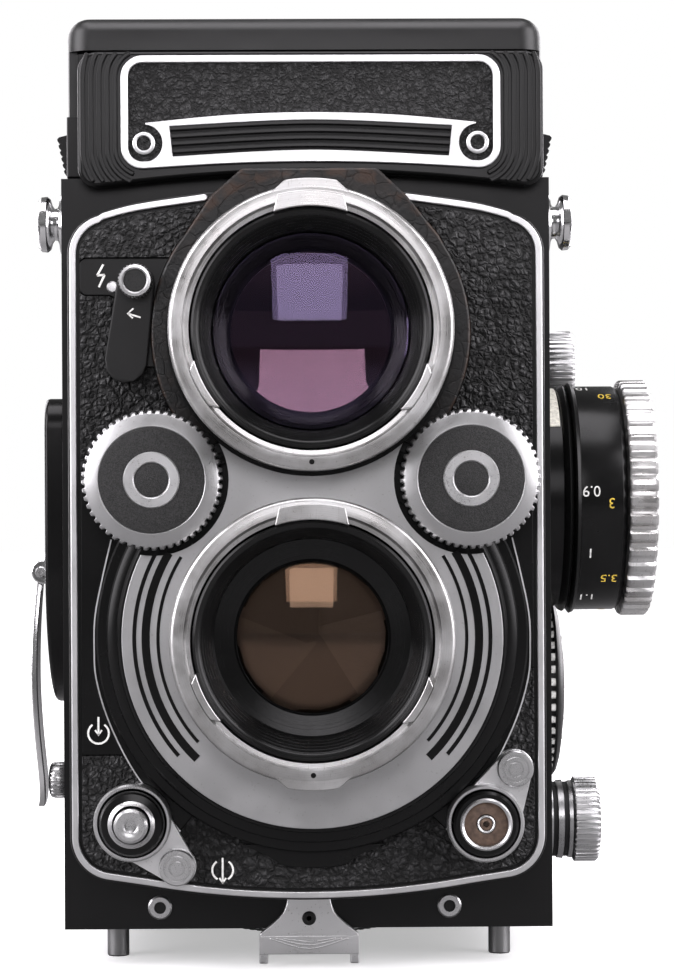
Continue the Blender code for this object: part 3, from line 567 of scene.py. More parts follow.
def cut(piece, outline, low=-25.0, high=0.0, axis="Y"):
    """Cut a prism out of a piece, for good."""
    bm = bmesh.new()
    face = bm.faces.new([bm.verts.new(here(to_space(axis, a, b, low))) for a, b in outline])
    extrude(bm, [face], Vector(to_space(axis, 0.0, 0.0, high - low)) * MM)
    bmesh.ops.recalc_face_normals(bm, faces=bm.faces)
    tool = show("tool", take_mesh("tool", bm))
    change = piece.modifiers.new("cut", "BOOLEAN")
    change.operation = "DIFFERENCE"
    change.object = tool
    bpy.context.view_layer.update()
    graph = bpy.context.evaluated_depsgraph_get()
    result = bpy.data.meshes.new_from_object(piece.evaluated_get(graph))
    piece.modifiers.clear()
    piece.data = result
    bpy.data.objects.remove(tool)


def arc(centre, radius, start, end, steps):
    points = []
    for step in range(steps + 1):
        turn = math.radians(start + (end - start) * step / steps)
        points.append((centre[0] + radius * math.cos(turn), centre[1] + radius * math.sin(turn)))
    return points


def circle(centre, radius, steps=64):
    return arc(centre, radius, 0, 360, steps)[:-1]


def bore(piece, radius, steps, *centres):
    """Round holes from the front, right through a piece."""
    for centre in centres:
        cut(piece, circle(centre, radius, steps))


def sector(centre, outer, inner, start, end, steps=32):
    """Part of a flat ring."""
    return arc(centre, outer, start, end, steps) + arc(centre, inner, end, start, steps)


def ribbon(path, width):
    """Outline of an open line of a constant width."""
    left = []
    right = []
    for index, point in enumerate(path):
        before = Vector(path[max(index - 1, 0)])
        after = Vector(path[min(index + 1, len(path) - 1)])
        along = (after - before).normalized()
        aside = Vector((-along.y, along.x)) * width / 2
        left.append(tuple(Vector(point) + aside))
        right.append(tuple(Vector(point) - aside))
    return left + right[::-1]


def smooth_path(points, steps=8):
    """Catmull-Rom curve through open points."""
    ends = [points[0]] + list(points) + [points[-1]]
    result = []
    for index in range(1, len(ends) - 2):
        a, b, c, d = (Vector(ends[index + shift]) for shift in (-1, 0, 1, 2))
        for step in range(steps):
            t = step / steps
            spot = 0.5 * ((2 * b) + (c - a) * t + (2 * a - 5 * b + 4 * c - d) * t * t
                          + (3 * b - a - 3 * c + d) * t ** 3)
            result.append(tuple(spot))
    result.append(tuple(points[-1]))
    return result


def rounded_rectangle(low, high, radius, steps=8):
    left, right = low[0] + radius, high[0] - radius
    bottom, top = low[1] + radius, high[1] - radius
    points = []
    for quarter, centre in enumerate(((right, top), (left, top), (left, bottom), (right, bottom))):
        points += arc(centre, radius, 90 * quarter, 90 * quarter + 90, steps)
    return points


def mirrored(points):
    return [(-x, z) for x, z in reversed(points)]


def dial_ticks(name, centre, reach, turns, width, low, high, finish, body):
    """Short strokes round a dial that faces sideways; reach is their inner and outer radius."""
    for index, degrees in enumerate(turns, 1):
        way = Vector((math.cos(math.radians(degrees)), math.sin(math.radians(degrees))))
        path = [tuple(Vector(centre) + way * radius) for radius in reach]
        prism(f"{name}_{index}", ribbon(path, width), low, high, finish, body, axis="X")


# ---------------------------------------------------------------- CAD nodes that stay visible

def dress_cad_nodes():
    """Every CAD node that stays visible gets a softened edge and a detailed material."""
    slot_finish = {
        "black_lacquer": PAINT, "black_leather": LEATHER, "black_anodised": MATT,
        "satin_silver": SATIN, "chrome": CHROME, "spool_plastic": MATT,
    }
    slots = {row["node"]: row["material_slot"] for row in frame["record"]["subparts"]}
    for name in ("front_panel", "body_casting", "nameplate_housing", "hood_base"):
        slots[name] = "black_lacquer"
    for name, item in frame["nodes"].items():
        if slots[name] not in slot_finish:
            continue
        item.data.materials.clear()
        item.data.materials.append(slot_finish[slots[name]].material)
        item.modifiers.new("weld", "WELD").merge_threshold = 0.00001
        round_edges(item, 0.3, 2, 40)
        item.modifiers.new("normals", "WEIGHTED_NORMAL").weight = 100
        item.data.shade_smooth()


def dress_blades_and_glass():
    """Materials of the nodes that keep their CAD shape: blades, mirror, screen and glasses."""
    chosen = {
        "reflex_mirror": MIRROR.material,
        "focusing_screen": FROSTED.material,
        "counter_glass": CLEAR.material,
        "magnifier_lens": CLEAR.material,
        "pressure_plate": MATT.material,
    }
    for index, tone in enumerate((0.05, 0.085, 0.06, 0.1, 0.07), 1):
        chosen[f"shutter_blade_{index}"] = make_blade_steel(f"shutter_blade_{index}_steel", tone)
    for name, material in chosen.items():
        data = frame["nodes"][name].data
        data.materials.clear()
        data.materials.append(material)


# ---------------------------------------------------------------- camera, light and floor

def make_floor():
    """Pale paper that glows towards its far parts for the camera, and stays darker in reflections."""
    half = 3.0
    bm = bmesh.new()
    bmesh.ops.create_grid(bm, x_segments=1, y_segments=1, size=half)
    floor = show("floor", take_mesh("floor", bm))
    paper = Shade("paper", grey(0.93), 0.9)
    pale = paper.mix(paper.noise(8.0, 3.0), grey(0.92), grey(0.95))
    ray = paper.node("LightPath").outputs
    seen = paper.larger(ray["Is Camera Ray"], ray["Is Diffuse Ray"])
    paper.set("Base Color", paper.mix(seen, grey(0.2), pale))
    glow = paper.spread(paper.radius("Z", (0, 0, 0)), 0.42, 1.0, 0.12, 0.7)
    paper.set("Emission Color", (*grey(1.0), 1.0))
    paper.set("Emission Strength", paper.times(glow, ray["Is Camera Ray"]))
    floor.data.materials.append(paper.material)


def make_world():
    """White for the camera and dimmer for every other ray."""
    dim = 0.16
    world = bpy.data.worlds.new("studio")
    bpy.context.scene.world = world
    world.use_nodes = True
    tree = world.node_tree
    background = tree.nodes["Background"]
    background.inputs["Color"].default_value = (1.0, 1.0, 1.0, 1.0)
    ray = tree.nodes.new("ShaderNodeLightPath")
    level = tree.nodes.new("ShaderNodeMapRange")
    level.inputs["To Min"].default_value = dim
    level.inputs["To Max"].default_value = 1.0
    tree.links.new(ray.outputs["Is Camera Ray"], level.inputs["Value"])
    tree.links.new(level.outputs["Result"], background.inputs["Strength"])
    bpy.context.scene.view_settings.view_transform = "Standard"


def make_light(name, place, target, size, power):
    data = bpy.data.lights.new(name, "AREA")
    data.shape = "RECTANGLE"
    data.size, data.size_y = size
    data.energy = power
    data.color = (0.99, 0.96, 1.0)
    lamp = show(name, data)
    lamp.location = here(place)
    lamp.rotation_euler = (here(target) - lamp.location).to_track_quat("-Z", "Y").to_euler()


def make_lights():
    aim = (0, 0, 80)
    make_light("key_left", (-520, -230, 300), aim, (0.45, 0.5), 5.2)
    make_light("key_right", (520, -210, 280), aim, (0.45, 0.5), 4.6)
    make_light("window", (0, -430, 222), (0, 0, 90), (0.17, 0.15), 0.42)
    make_light("top", (0, -90, 640), aim, (0.6, 0.4), 3.6)
    make_light("rear_left", (-420, 520, 260), aim, (0.4, 0.5), 2.6)
    make_light("rear_right", (420, 520, 260), aim, (0.4, 0.5), 2.6)


def make_camera():
    """Level camera in front of the body, at the height of its middle."""
    distance = 450.0
    focal = 104.5
    yaw = math.radians(-0.76)
    roll = math.radians(-0.3)
    data = bpy.data.cameras.new("camera")
    data.sensor_width = 36.0
    data.lens = focal
    data.clip_start = 0.01
    camera = show("camera", data)
    camera.location = here((-1.1, -distance, 75.7))
    turn = Matrix.Rotation(yaw, 3, "Z") @ Matrix.Rotation(math.radians(90), 3, "X")
    camera.rotation_euler = (turn @ Matrix.Rotation(roll, 3, "Z")).to_euler()
    bpy.context.scene.camera = camera


# ---------------------------------------------------------------- focusing front

def panel_path(inset):
    """Outline of the front panel, open at the top behind the viewing band."""
    side = arc((0.0, 156.3), 144.2 - inset, 270, 280, 12)
    side += arc((29.9, 22.1), 7.0 - inset, -78, 0, 12)
    side += arc((30.4, 112.0), 6.5 - inset, 0, 74, 12)
    side += smooth_path([(31.8, 118.6 - inset), (26.0, 120.1 - inset), (15.6, 121.6 - inset)], 6)[1:]
    return mirrored(side[1:]) + side


def hump_outline(grow=0.0):
    """Smooth band round the viewing lens with its hump above, cut off by the shutter below."""
    top = [(-9.8 - grow, 125.0 + grow * 0.6), (11.0 + grow, 125.0 + grow * 0.6)]
    right = [(15.5 + grow, 120.8 + grow), (20.5 + grow, 114.6)]
    left = [(-18.8 - grow, 114.6), (-14.6 - grow, 120.8 + grow)]
    return left + top + right + arc(VIEWING.centre, 24.6 + grow, 33, -213, 60)


def bezel_edge(side, grow=0.0):
    """Outer edge of the shutter's surround, from the wheel down to the lock lever."""
    path = smooth_path([(30.9, 68.0), (32.2, 62.5), (33.4, 56.5), (33.6, 51.5), (33.3, 46.5), (31.4, 40.0),
                        (28.0, 33.0), (24.0, 27.4), (20.5, 23.0)], 5)
    scale = 1.0 + grow / 34.0
    return [(LENS_X + side * x * scale, TAKE_Z + (z - TAKE_Z) * scale) for x, z in path]


def bezel_outline(side, grow=0.0):
    """Smooth black area beside the shutter, out to the trim line where there is no leather."""
    low = SMOOTH_END[side] - grow
    outer = side * (34.9 + grow)
    lower = [point for point in bezel_edge(side, grow) if point[1] < low]
    inner = [(side * 14.0, 30.0), (side * 14.0, 60.0), (side * 20.0, 77.0)]
    return [(outer, 77.0), (outer, low), (lower[0][0], low)] + lower + inner


def selector_plate_outline(grow=0.0):
    """Smooth black plate behind the sync selector: L-shaped, with rounded outer corners."""
    left, right, step = -34.9 - grow, -21.0 + grow, -29.3 - grow
    low, shelf, high = 94.5 - grow, 105.6 - grow, 111.4 + grow
    radius = 1.2
    points = arc((left + radius, high - radius), radius, 90, 180, 5)
    points += arc((left + radius, shelf + radius), radius, 180, 270, 5)
    points += arc((step - radius, shelf - radius), radius, 90, 0, 5)
    return points + [(step, low), (right, low), (right, high)]


def make_panel():
    outline = panel_path(0.05)
    lip = PANEL_FRONT + 2.4
    holes = [circle(VIEWING.centre, 17.0), circle(TAKING.centre, 15.0), circle(RELEASE, 3.05, 24)]
    prism("panel_face", outline, PANEL_FRONT, lip, PAINT, bevel=0.5, holes=holes, node="front_panel")
    prism("panel_wall", outline, lip, corner("front_panel", 1).y, PAINT, holes=[panel_path(1.9)])


def make_trim():
    """Silver line that follows the panel's edge and ends in round tips beside the viewing band."""
    outer, inner = panel_path(0.45), panel_path(1.5)
    end_x, end_z = outer[-1][0], (outer[-1][1] + inner[-1][1]) / 2
    radius = (outer[-1][1] - inner[-1][1]) / 2
    shape = outer + arc((end_x, end_z), radius, 90, 270, 8)[1:-1]
    shape += inner[::-1] + arc((-end_x, end_z), radius, -90, 90, 8)[1:-1]
    prism("trim_line", shape, COVER_FRONT - 0.15, PANEL_SKIN, TRIM, bevel=0.22, node="front_trim")


def make_front_leather():
    """Leather sheet trimmed round everything that stands on the panel."""
    sheet = prism("front_leather_sheet", panel_path(2.0), COVER_FRONT - 0.1, PANEL_SKIN, LEATHER,
                  bevel=0.18, node="front_leather")
    bore(sheet, SHUTTER_BORE, 128, TAKING.centre)
    cut(sheet, hump_outline(0.15))
    bore(sheet, WHEEL_BORE, 64, *WHEELS.values())
    for side, _ in SIDES:
        cut(sheet, bezel_outline(side, 0.1))
    cut(sheet, selector_plate_outline(0.1))
    bore(sheet, 5.2, 48, RELEASE, SOCKET)


def make_front_plates():
    """Smooth lacquered areas where the panel has no leather, with a fine silver line."""
    for side, label in SIDES:
        plate = prism("bezel_plate_" + label, bezel_outline(side), COVER_FRONT + 0.1, PANEL_SKIN, GLOSS,
                      bevel=0.15)
        bore(plate, SHUTTER_BORE - 0.1, 128, TAKING.centre)
        bore(plate, WHEEL_BORE - 0.1, 64, *WHEELS.values())
        line = ribbon(bezel_edge(side), 0.22)
        prism("bezel_line_" + label, line, COVER_FRONT - 0.12, PANEL_FRONT - 0.1, TRIM)
    plate = prism("selector_plate", selector_plate_outline(), COVER_FRONT + 0.05, PANEL_SKIN, PAINT,
                  bevel=0.2)
    cut(plate, hump_outline(0.15))


def make_band():
    band = prism("viewing_band", hump_outline(), corner("viewing_bezel", 0).y, PANEL_SKIN, BAND,
                 bevel=0.5, node="viewing_bezel")
    bore(band, RING_BORE, 96, VIEWING.centre)
    bore(band, SHUTTER_BORE, 128, TAKING.centre)
    bore(band, WHEEL_BORE, 64, *WHEELS.values())


def make_shutter():
    """Stepped round housing with a swell below and a round base under each wheel."""
    back = PANEL_SKIN
    front = -18.7
    rim = turned("shutter_rim", [
        (33.2, back), (33.2, -14.3), (32.9, -14.7), (31.6, -14.9), (31.4, -15.2), (31.3, -16.3),
        (30.9, -16.6), (29.9, -16.8), (29.7, -17.1), (29.6, -18.4), (29.3, front), (24.6, front),
        (24.6, back),
    ], TAKING, SHUTTER_BLACK, 160, node="shutter_housing")
    bore(rim, RING_BORE, 96, VIEWING.centre)
    turned("shutter_core", [(24.5, -16.0), (24.5, front), (18.2, front), (18.2, -16.0)], TAKING,
           SHUTTER_BLACK)
    half = [(0, -35.6), (4.6, -35.2), (7.0, -33.8), (11.0, -32.0)]
    swell = [(LENS_X + x, TAKE_Z + z) for x, z in smooth_path(mirrored(half[1:]) + half, 6)]
    prism("shutter_bulge", swell, -13.7, back, SHUTTER_BLACK, bevel=0.4)
    for wheel, (_, label) in zip(WHEELS.values(), SIDES):
        turned("wheel_base_" + label, [(0, back), (9.2, back), (9.2, -17.2), (8.8, -17.8), (0, -17.8)],
               Axle("Y", wheel, FRONT), SHUTTER_BLACK, 64)


def make_face_plate():
    """Satin plate: ring round the taking lens with a waist up between the wheels, and black arcs."""
    waist = 76.0
    top = 86.0
    shape = arc(TAKING.centre, 29.0, 128, 412, 140)
    shape += [(19.5, waist), (19.5, top), (-18.5, top), (-18.5, waist)]
    plate = prism("shutter_plate", shape, PLATE_FRONT, -18.72, FACE, bevel=0.12,
                  holes=[circle(TAKING.centre, 18.3, 96)], node="shutter_face_plate")
    bore(plate, RING_BORE, 96, VIEWING.centre)
    bore(plate, 11.5, 64, *WHEELS.values())
    stripes = ((27.35, 26.75, 147, 221), (25.95, 24.7, 149, 226), (23.7, 23.2, 148, 222))
    for side, label in SIDES:
        for outer, inner, low, high in stripes:
            start, end = (low, high) if side < 0 else (180 - high, 180 - low)
            prism(f"plate_arc_{label}_{int(inner)}", sector(TAKING.centre, outer, inner, start, end),
                  PLATE_FRONT - 0.06, PLATE_FRONT + 0.1, SHUTTER_BLACK)


def make_lens_mounts():
    """Bayonet rings: lipped satin rings with inner lugs, an ear and an index mark."""
    for label, axle, ear in (("viewing", VIEWING, 90), ("taking", TAKING, 270)):
        centre = axle.centre
        turned(label + "_ring", [
            (18.3, -19.9), (21.0, -19.9), (21.0, -25.0), (21.35, -25.2), (21.4, -27.4), (21.1, -27.85),
            (20.8, RING_FRONT), (19.3, RING_FRONT), (19.1, -27.7), (18.9, -27.4), (18.3, -27.3),
        ], axle, RINGS[label], 160, node=label + "_bayonet_ring")
        for index, (heading, half, reach) in enumerate(((90, 14, 20.5), (208, 9, 19.2), (330, 9, 19.2)), 1):
            shape = arc(centre, reach, heading - half, heading + half, 12)
            shape += arc(centre, 18.05, heading + half + 4, heading - half - 4, 12)
            prism(f"{label}_lug_{index}", shape, -28.2, -26.6, RINGS[label], bevel=0.22)
        shape = arc(centre, 22.3, ear - 10, ear + 10, 12) + arc(centre, 20.6, ear + 19, ear - 19, 12)
        prism(label + "_ear", shape, RING_FRONT + 0.02, -22.0, RINGS[label], bevel=0.2)
        turned(label + "_index", [(0, -28.05), (0.38, -28.05), (0.45, -27.9), (0, -27.9)],
               Axle("Y", (LENS_X, centre[1] - 20.0), FRONT), SHUTTER_BLACK, 24)


def step_profile(outer, last, depth):
    """Concentric light-trap steps from the barrel's mouth down to its glass."""
    steps = 5
    mouth = -27.2
    tread = (depth - mouth) / steps
    points = []
    for index in range(steps):
        radius = outer + (last - outer) * index / steps
        along = mouth + tread * index
        points += [(radius, along), (radius - 0.14, along + 0.16), (radius - 0.12, along + tread - 0.25),
                   (radius - 0.3, along + tread - 0.08)]
    points.append((last, depth))
    return points


def make_barrels():
    """Stepped black tubes from the bayonet rings down to the glasses."""
    lip = [(17.95, -27.3), (17.6, -27.5), (17.2, -27.3)] + step_profile(17.0, 15.3, -20.2)
    turned("viewing_barrel_tube", [(22.0, -12.2), (22.0, -19.7), (17.95, -19.7)] + lip + [
        (15.2, -17.6), (15.0, -17.2), (14.9, -12.2),
    ], VIEWING, VIEW_BLACK, 160, node="viewing_barrel")
    turned("taking_barrel_tube", [(17.95, -16.3)] + lip + [
        (15.2, -18.3), (15.0, -17.7), (12.0, -17.0), (11.7, -17.2), (11.5, -17.0), (11.5, -16.3),
    ], TAKING, TAKE_BLACK, 160, node="taking_barrel")
    turned("viewing_inner_ring", [
        (14.9, -17.0), (14.9, -15.6), (12.4, -12.4), (12.2, -12.4), (12.2, -15.4), (12.9, -16.2),
    ], VIEWING, VIEW_BLACK, 128)
    turned("viewing_tube", [(14.85, -15.5), (14.85, -6.2), (13.0, -6.2), (12.6, -15.5)], VIEWING, INNER)


def dome(radius, rim, rise, steps=14):
    """Profile of a shallow bowl from the axis out to the rim, bulging to the front."""
    shares = [step / steps for step in range(steps + 1)]
    return [(radius * share, rim - rise * (1 - share ** 2)) for share in shares]


def make_front_glass(label, axle, radius, rim, rise, finish):
    """Thin meniscus: both faces bulge to the front, the rear one a little less."""
    thickness = 0.8
    profile = dome(radius, rim, rise) + dome(radius, rim + thickness, rise * 0.9)[::-1]
    turned(label + "_front_glass", profile, axle, finish, 128, node=label + "_glass")


def make_glasses():
    """Front glass of each lens, and the hollow inner glass of the viewing lens."""
    make_front_glass("viewing", VIEWING, 14.9, -18.0, 2.0, COAT_VIEW)
    make_front_glass("taking", TAKING, 11.5, -17.2, 1.8, COAT_TAKE)
    radius, edge, sag = 12.2, -12.0, -1.0
    bowl = dome(radius, edge, sag, 12) + [(radius, -9.4), (0, -9.4)]
    turned("viewing_rear_glass", bowl, VIEWING, COAT_REAR)


# ---------------------------------------------------------------- wheels and small controls

def make_wheels():
    """Setting wheels: bevelled knurl, satin rings and sandpaper-black faces."""
    back, front = corner("aperture_wheel", 1).y, corner("aperture_wheel", 0).y
    for name, centre in WHEELS.items():
        axle = Axle("Y", centre, name)
        turned(name + "_rim", [
            (7.7, back), (9.6, back), (10.6, back - 0.6, 1), (10.6, front + 1.5, 1),
            (10.35, front + 0.95, 0.8), (10.05, front + 0.74), (9.9, front + 0.66), (8.45, front + 0.09),
            (8.15, front), (7.9, front + 0.1), (7.7, front + 0.35),
        ], axle, WHEEL_SATIN, teeth=52, depth=0.5, node=name)
        turned(name + "_face", [
            (4.0, back), (7.9, back), (7.95, front - 0.02), (7.75, front - 0.1), (4.25, front - 0.1),
            (4.0, front + 0.3),
        ], axle, GRAIN, 80)
        turned(name + "_ring", [
            (2.4, back), (4.3, back), (4.3, front - 0.05), (4.1, front - 0.3), (2.8, front - 0.3),
            (2.5, front),
        ], axle, SATIN, 64)
        turned(name + "_plug", [
            (0, back), (2.55, back), (2.55, front - 0.1), (2.3, front - 0.2), (0, front - 0.2),
        ], axle, GRAIN, 48)


def make_lock_lever(name, centre, knob):
    """Flat teardrop lever round a socket with a turned thumb knob at its end."""
    wide, narrow = 5.55, 2.9
    heading = math.degrees(math.atan2(knob[1] - centre[1], knob[0] - centre[0]))
    outline = arc(centre, wide, heading + 90, heading + 270, 40)
    outline += arc(knob, narrow, heading - 90, heading + 90, 40)
    prism(name + "_plate", outline, -14.6, -13.1, BRUSHED, name, 0.25, [circle(centre, 5.2)], node=name)
    turned(name + "_rim", [
        (5.2, -13.2), (5.95, -13.2), (5.95, -16.2), (5.7, -16.55), (5.35, -16.55), (5.2, -16.3),
    ], Axle("Y", centre, name), SATIN)
    turned(name + "_knob", [
        (0, -14.2), (2.8, -14.2), (2.8, -16.0), (2.6, -16.25), (2.1, -16.25), (2.05, -16.05),
        (1.8, -16.05), (1.75, -16.4), (1.25, -16.4), (1.2, -16.2), (1.0, -16.2), (0.95, -16.55),
        (0, -16.55),
    ], Axle("Y", knob, name), SATIN, 64)


def make_release():
    """Release button in its collar, with a lever that locks it."""
    make_lock_lever("release_lock", RELEASE, (RELEASE[0] + 6.8, RELEASE[1] - 6.9))
    axle = Axle("Y", RELEASE, FRONT)
    turned("release_ring", [(3.5, -12.85), (5.0, -12.85), (5.0, -17.2), (4.6, -17.9), (3.5, -18.2)],
           axle, GLOSS_METAL, 80, node="release_collar")
    turned("release_lip", [
        (2.8, -13.0), (3.6, -13.0), (3.6, -18.6), (3.3, -18.9), (2.95, -18.7), (2.8, -17.5),
    ], axle, SATIN, 64)
    low = corner("release_button", 0).y
    turned("release_plunger", [
        (0, -12.0), (2.6, -12.0), (2.6, low + 0.5), (2.2, low + 0.05), (1.5, low), (0.95, low + 0.3),
        (0.8, low + 1.8), (0, low + 1.9),
    ], axle._replace(body="release_button"), SATIN_CHROME, 64, node="release_button")


def make_sync_socket():
    """Flash socket with its insulator and contact tube, and the lever that locks the plug."""
    make_lock_lever("socket_lock", SOCKET, (SOCKET[0] + 4.6, SOCKET[1] + 8.3))
    axle = Axle("Y", SOCKET, FRONT)
    turned("socket_ring", [(3.9, -12.85), (5.0, -12.85), (5.0, -17.0), (4.6, -17.5), (3.9, -17.5)],
           axle, GLOSS_METAL, 80, node="sync_socket")
    turned("socket_lip", [
        (3.35, -13.0), (4.0, -13.0), (4.0, -17.8), (3.75, -18.1), (3.4, -17.9), (3.35, -17.0),
    ], axle, SATIN, 64)
    turned("socket_insulator", [
        (0, -13.0), (3.4, -13.0), (3.4, -16.7), (3.1, -16.9), (1.5, -16.9), (1.4, -16.0), (1.0, -16.0),
        (0.95, -17.1), (0.5, -17.2), (0.45, -16.4), (0, -16.4),
    ], axle, AMBER, 64)
    turned("socket_tube", [(1.05, -15.9), (1.35, -15.9), (1.35, -17.3), (1.2, -17.4), (1.05, -17.3)],
           axle, SATIN, 48)


def make_mark(name, paths, width, front, body=FRONT):
    """Filled mark made of line strokes."""
    for index, path in enumerate(paths, 1):
        prism(f"{name}_{index}", ribbon(path, width), front - 0.04, front + 0.1, WHITE_INK, body)


def make_selector():
    """Sync selector with its pin, the flash mark beside it and the arrow on the timer lever."""
    centre = centre_of("sync_selector")
    axle = Axle("Y", centre, "sync_selector")
    low = corner("sync_selector", 0).y
    turned("selector_knob", [
        (1.75, -14.7), (2.5, -14.7, 1), (2.64, -15.0, 1), (2.64, low + 0.4, 1), (2.4, low + 0.05),
        (2.0, low), (1.75, low + 0.25),
    ], axle, SATIN, teeth=28, depth=0.2, node="sync_selector")
    turned("selector_pad", [(0, -14.7), (1.8, -14.7), (1.8, low + 0.35), (1.6, low + 0.2), (0, low + 0.15)],
           axle, GRAIN_PAD, 48)
    turned("selector_pin", [(0, -11.6), (0.9, -11.6), (0.9, -12.75), (0.7, -12.98), (0, -13.0)],
           Axle("Y", (centre[0] - 3.7, centre[1] - 0.7), FRONT), SATIN, 32)
    x, z = centre[0] - 5.4, centre[1] + 0.9
    bolt = [(x + 0.3, z + 1.9), (x - 0.65, z + 0.2), (x + 0.5, z + 0.3), (x - 0.4, z - 1.6)]
    make_mark("flash_mark", list(zip(bolt, bolt[1:])), 0.32, COVER_FRONT + 0.05)
    x, z = centre[0] - 0.6, centre[1] - 6.4
    shaft = [(x + 1.3, z + 0.9), (x - 0.6, z + 1.5)]
    head = [(x + 0.2, z + 2.3), (x - 0.7, z + 1.5), (x + 0.1, z + 0.8)]
    make_mark("timer_mark", [shaft, head], 0.26, corner("self_timer_lever", 0).y, "self_timer_lever")


def make_lock_marks():
    """Open ring with an arrow beside each lock lever."""
    places = ((RELEASE[0] - 5.3, RELEASE[1] + 13.5, ((125, 415),), 2.5, -0.3),
              (RELEASE[0] + 13.7, RELEASE[1] - 7.7, ((125, 240), (300, 415)), 1.9, -2.0))
    for index, (x, z, turns, high, low) in enumerate(places, 1):
        paths = [arc((x, z), 1.6, start, end, 16) for start, end in turns]
        tip = z + low
        paths += [[(x, z + high), (x, tip)], [(x - 0.5, tip + 0.8), (x, tip), (x + 0.5, tip + 0.8)]]
        make_mark(f"lock_mark_{index}", paths, 0.3, COVER_FRONT - 0.1)


# ---------------------------------------------------------------- nameplate

def arch(half, low, shoulder, crown, shoulder_x=13):
    """Bowed line across the nameplate from left to right, highest in its middle."""
    heights = ((-half, low), (-shoulder_x, shoulder), (0, crown), (shoulder_x, shoulder), (half, low))
    return [(NAME_X + x, z) for x, z in heights]


def arched_plate(left, right, bottom, top, radius, bow, steps):
    """Rounded outline round its four corner centres, with the lower edge bowed up."""
    points = arc((right, top), radius, 0, 90, steps) + arc((left, top), radius, 90, 180, steps)
    points += arc((left, bottom), radius, 180, 270, steps)
    points += smooth_path(bow, steps - 2)[1:-1]
    return points + arc((right, bottom), radius, 270, 360, steps)


def name_frame(inset):
    """Outline of the nameplate's silver frame."""
    radius = 3.4 - inset
    low = FRAME_LOW - radius
    bow = arch(FRAME_HALF, low, low + 0.75, low + 1.0)
    return arched_plate(NAME_X - FRAME_HALF, NAME_X + FRAME_HALF, FRAME_LOW, FRAME_HIGH, radius, bow, 8)


def make_name_block():
    low, high = corner("nameplate_housing", 0), corner("nameplate_housing", 1)
    radius = 3.0
    left, right = low.x + radius, high.x - radius
    bow = arch((right - left) / 2, low.z, low.z + 1.55, low.z + 2.3, 18)
    outline = arched_plate(left, right, low.z + radius, high.z - radius, radius, bow, 10)
    prism("name_block", outline, low.y, high.y, GLOSS, BODY, 0.7, node="nameplate_housing")


def make_nameplate():
    """Silver frame, leather, ribbed grille and two ring screws."""
    front = corner("nameplate_trim", 0).y
    face = NAME_FRONT
    prism("name_frame", name_frame(0.0), front, face - 0.05, TRIM, BODY, 0.18, [name_frame(1.15)],
          node="nameplate_trim")
    prism("name_leather", name_frame(1.1), face - 0.45, face - 0.05, LEATHER_FINE, BODY)
    x = NAME_X
    screws = ((x - 26.2, 130.0), (x + 26.2, 130.0))
    outline = smooth_path(arch(25.9, 133.2, 134.4, 134.8), 6)
    outline += arc(screws[1], 2.95, 95, 262, 16)
    outline += smooth_path(arch(25.5, 127.05, 127.75, 128.0)[::-1], 6)[1:-1]
    outline += arc(screws[0], 2.95, -82, 85, 16)
    hole = smooth_path([(x - 22.2, 132.7), (x, 133.65), (x + 22.2, 132.7)])
    hole += smooth_path([(x + 21.7, 127.9), (x, 128.9), (x - 21.7, 127.9)])
    prism("grille_surround", outline, front + 0.02, face - 0.3, TRIM, BODY, 0.14, [hole])
    prism("grille_back", hole, face - 0.55, face - 0.3, MATT, BODY, node="meter_grille")
    for index in range(4):
        z = 128.75 + index * 1.18
        half = 21.8 + index * 0.1
        path = smooth_path([(x - half, z), (x, z + 0.95), (x + half, z)], 10)
        prism(f"grille_rib_{index + 1}", ribbon(path, 0.85), face - 1.0, face - 0.5, GLOSS, BODY, 0.3)
    for (_, label), spot in zip(SIDES, screws):
        turned("name_screw_" + label, [
            (1.15, face - 0.4), (1.75, face - 0.4), (1.75, face - 0.9), (1.6, face - 1.0),
            (1.3, face - 1.0), (1.15, face - 0.85),
        ], Axle("Y", spot, BODY), TRIM, 48)
        turned("name_screw_core_" + label, [
            (0, face - 0.4), (1.2, face - 0.4), (1.2, face - 0.75), (0, face - 0.75),
        ], Axle("Y", spot, BODY), LEATHER_CORE, 32)


def make_flutes():
    """Raised ribs at both ends of the nameplate, concentric with the frame's corners."""
    for side, label in SIDES:
        for index in range(5):
            radius = 4.35 + index * 1.27
            low = -math.degrees(math.asin(min(0.95, 5.4 / radius)))
            high = math.degrees(math.asin(min(0.95, 3.9 / radius)))
            path = arc((FRAME_HALF, FRAME_LOW), radius, low, 0, 14)
            path += arc((FRAME_HALF, FRAME_HIGH), radius, 0, high, 14)
            path = [(NAME_X + side * a, b) for a, b in path]
            prism(f"flute_{label}_{index + 1}", ribbon(path, 0.8), NAME_FRONT - 0.5, NAME_FRONT - 0.02, GLOSS,
                  BODY, 0.32)


def make_strip_screws():
    """Ring-slot screws with a dark centre in the strip below the front."""
    radius = 1.9
    front = -0.35
    for index, centre in enumerate(((-23.6, 9.4), (22.3, 9.4)), 1):
        axle = Axle("Y", centre, BODY)
        turned(f"strip_screw_{index}", [
            (0, front + 1.2), (radius, front + 1.2), (radius, front + 0.25), (radius - 0.25, front),
            (radius * 0.5, front), (radius * 0.45, front + 0.4), (0, front + 0.4),
        ], axle, SATIN, 48)
        turned(f"strip_screw_core_{index}", [
            (0, front + 1.0), (radius * 0.42, front + 1.0), (radius * 0.42, front + 0.2),
            (0, front + 0.2),
        ], axle, MATT, 32)


# ---------------------------------------------------------------- right side

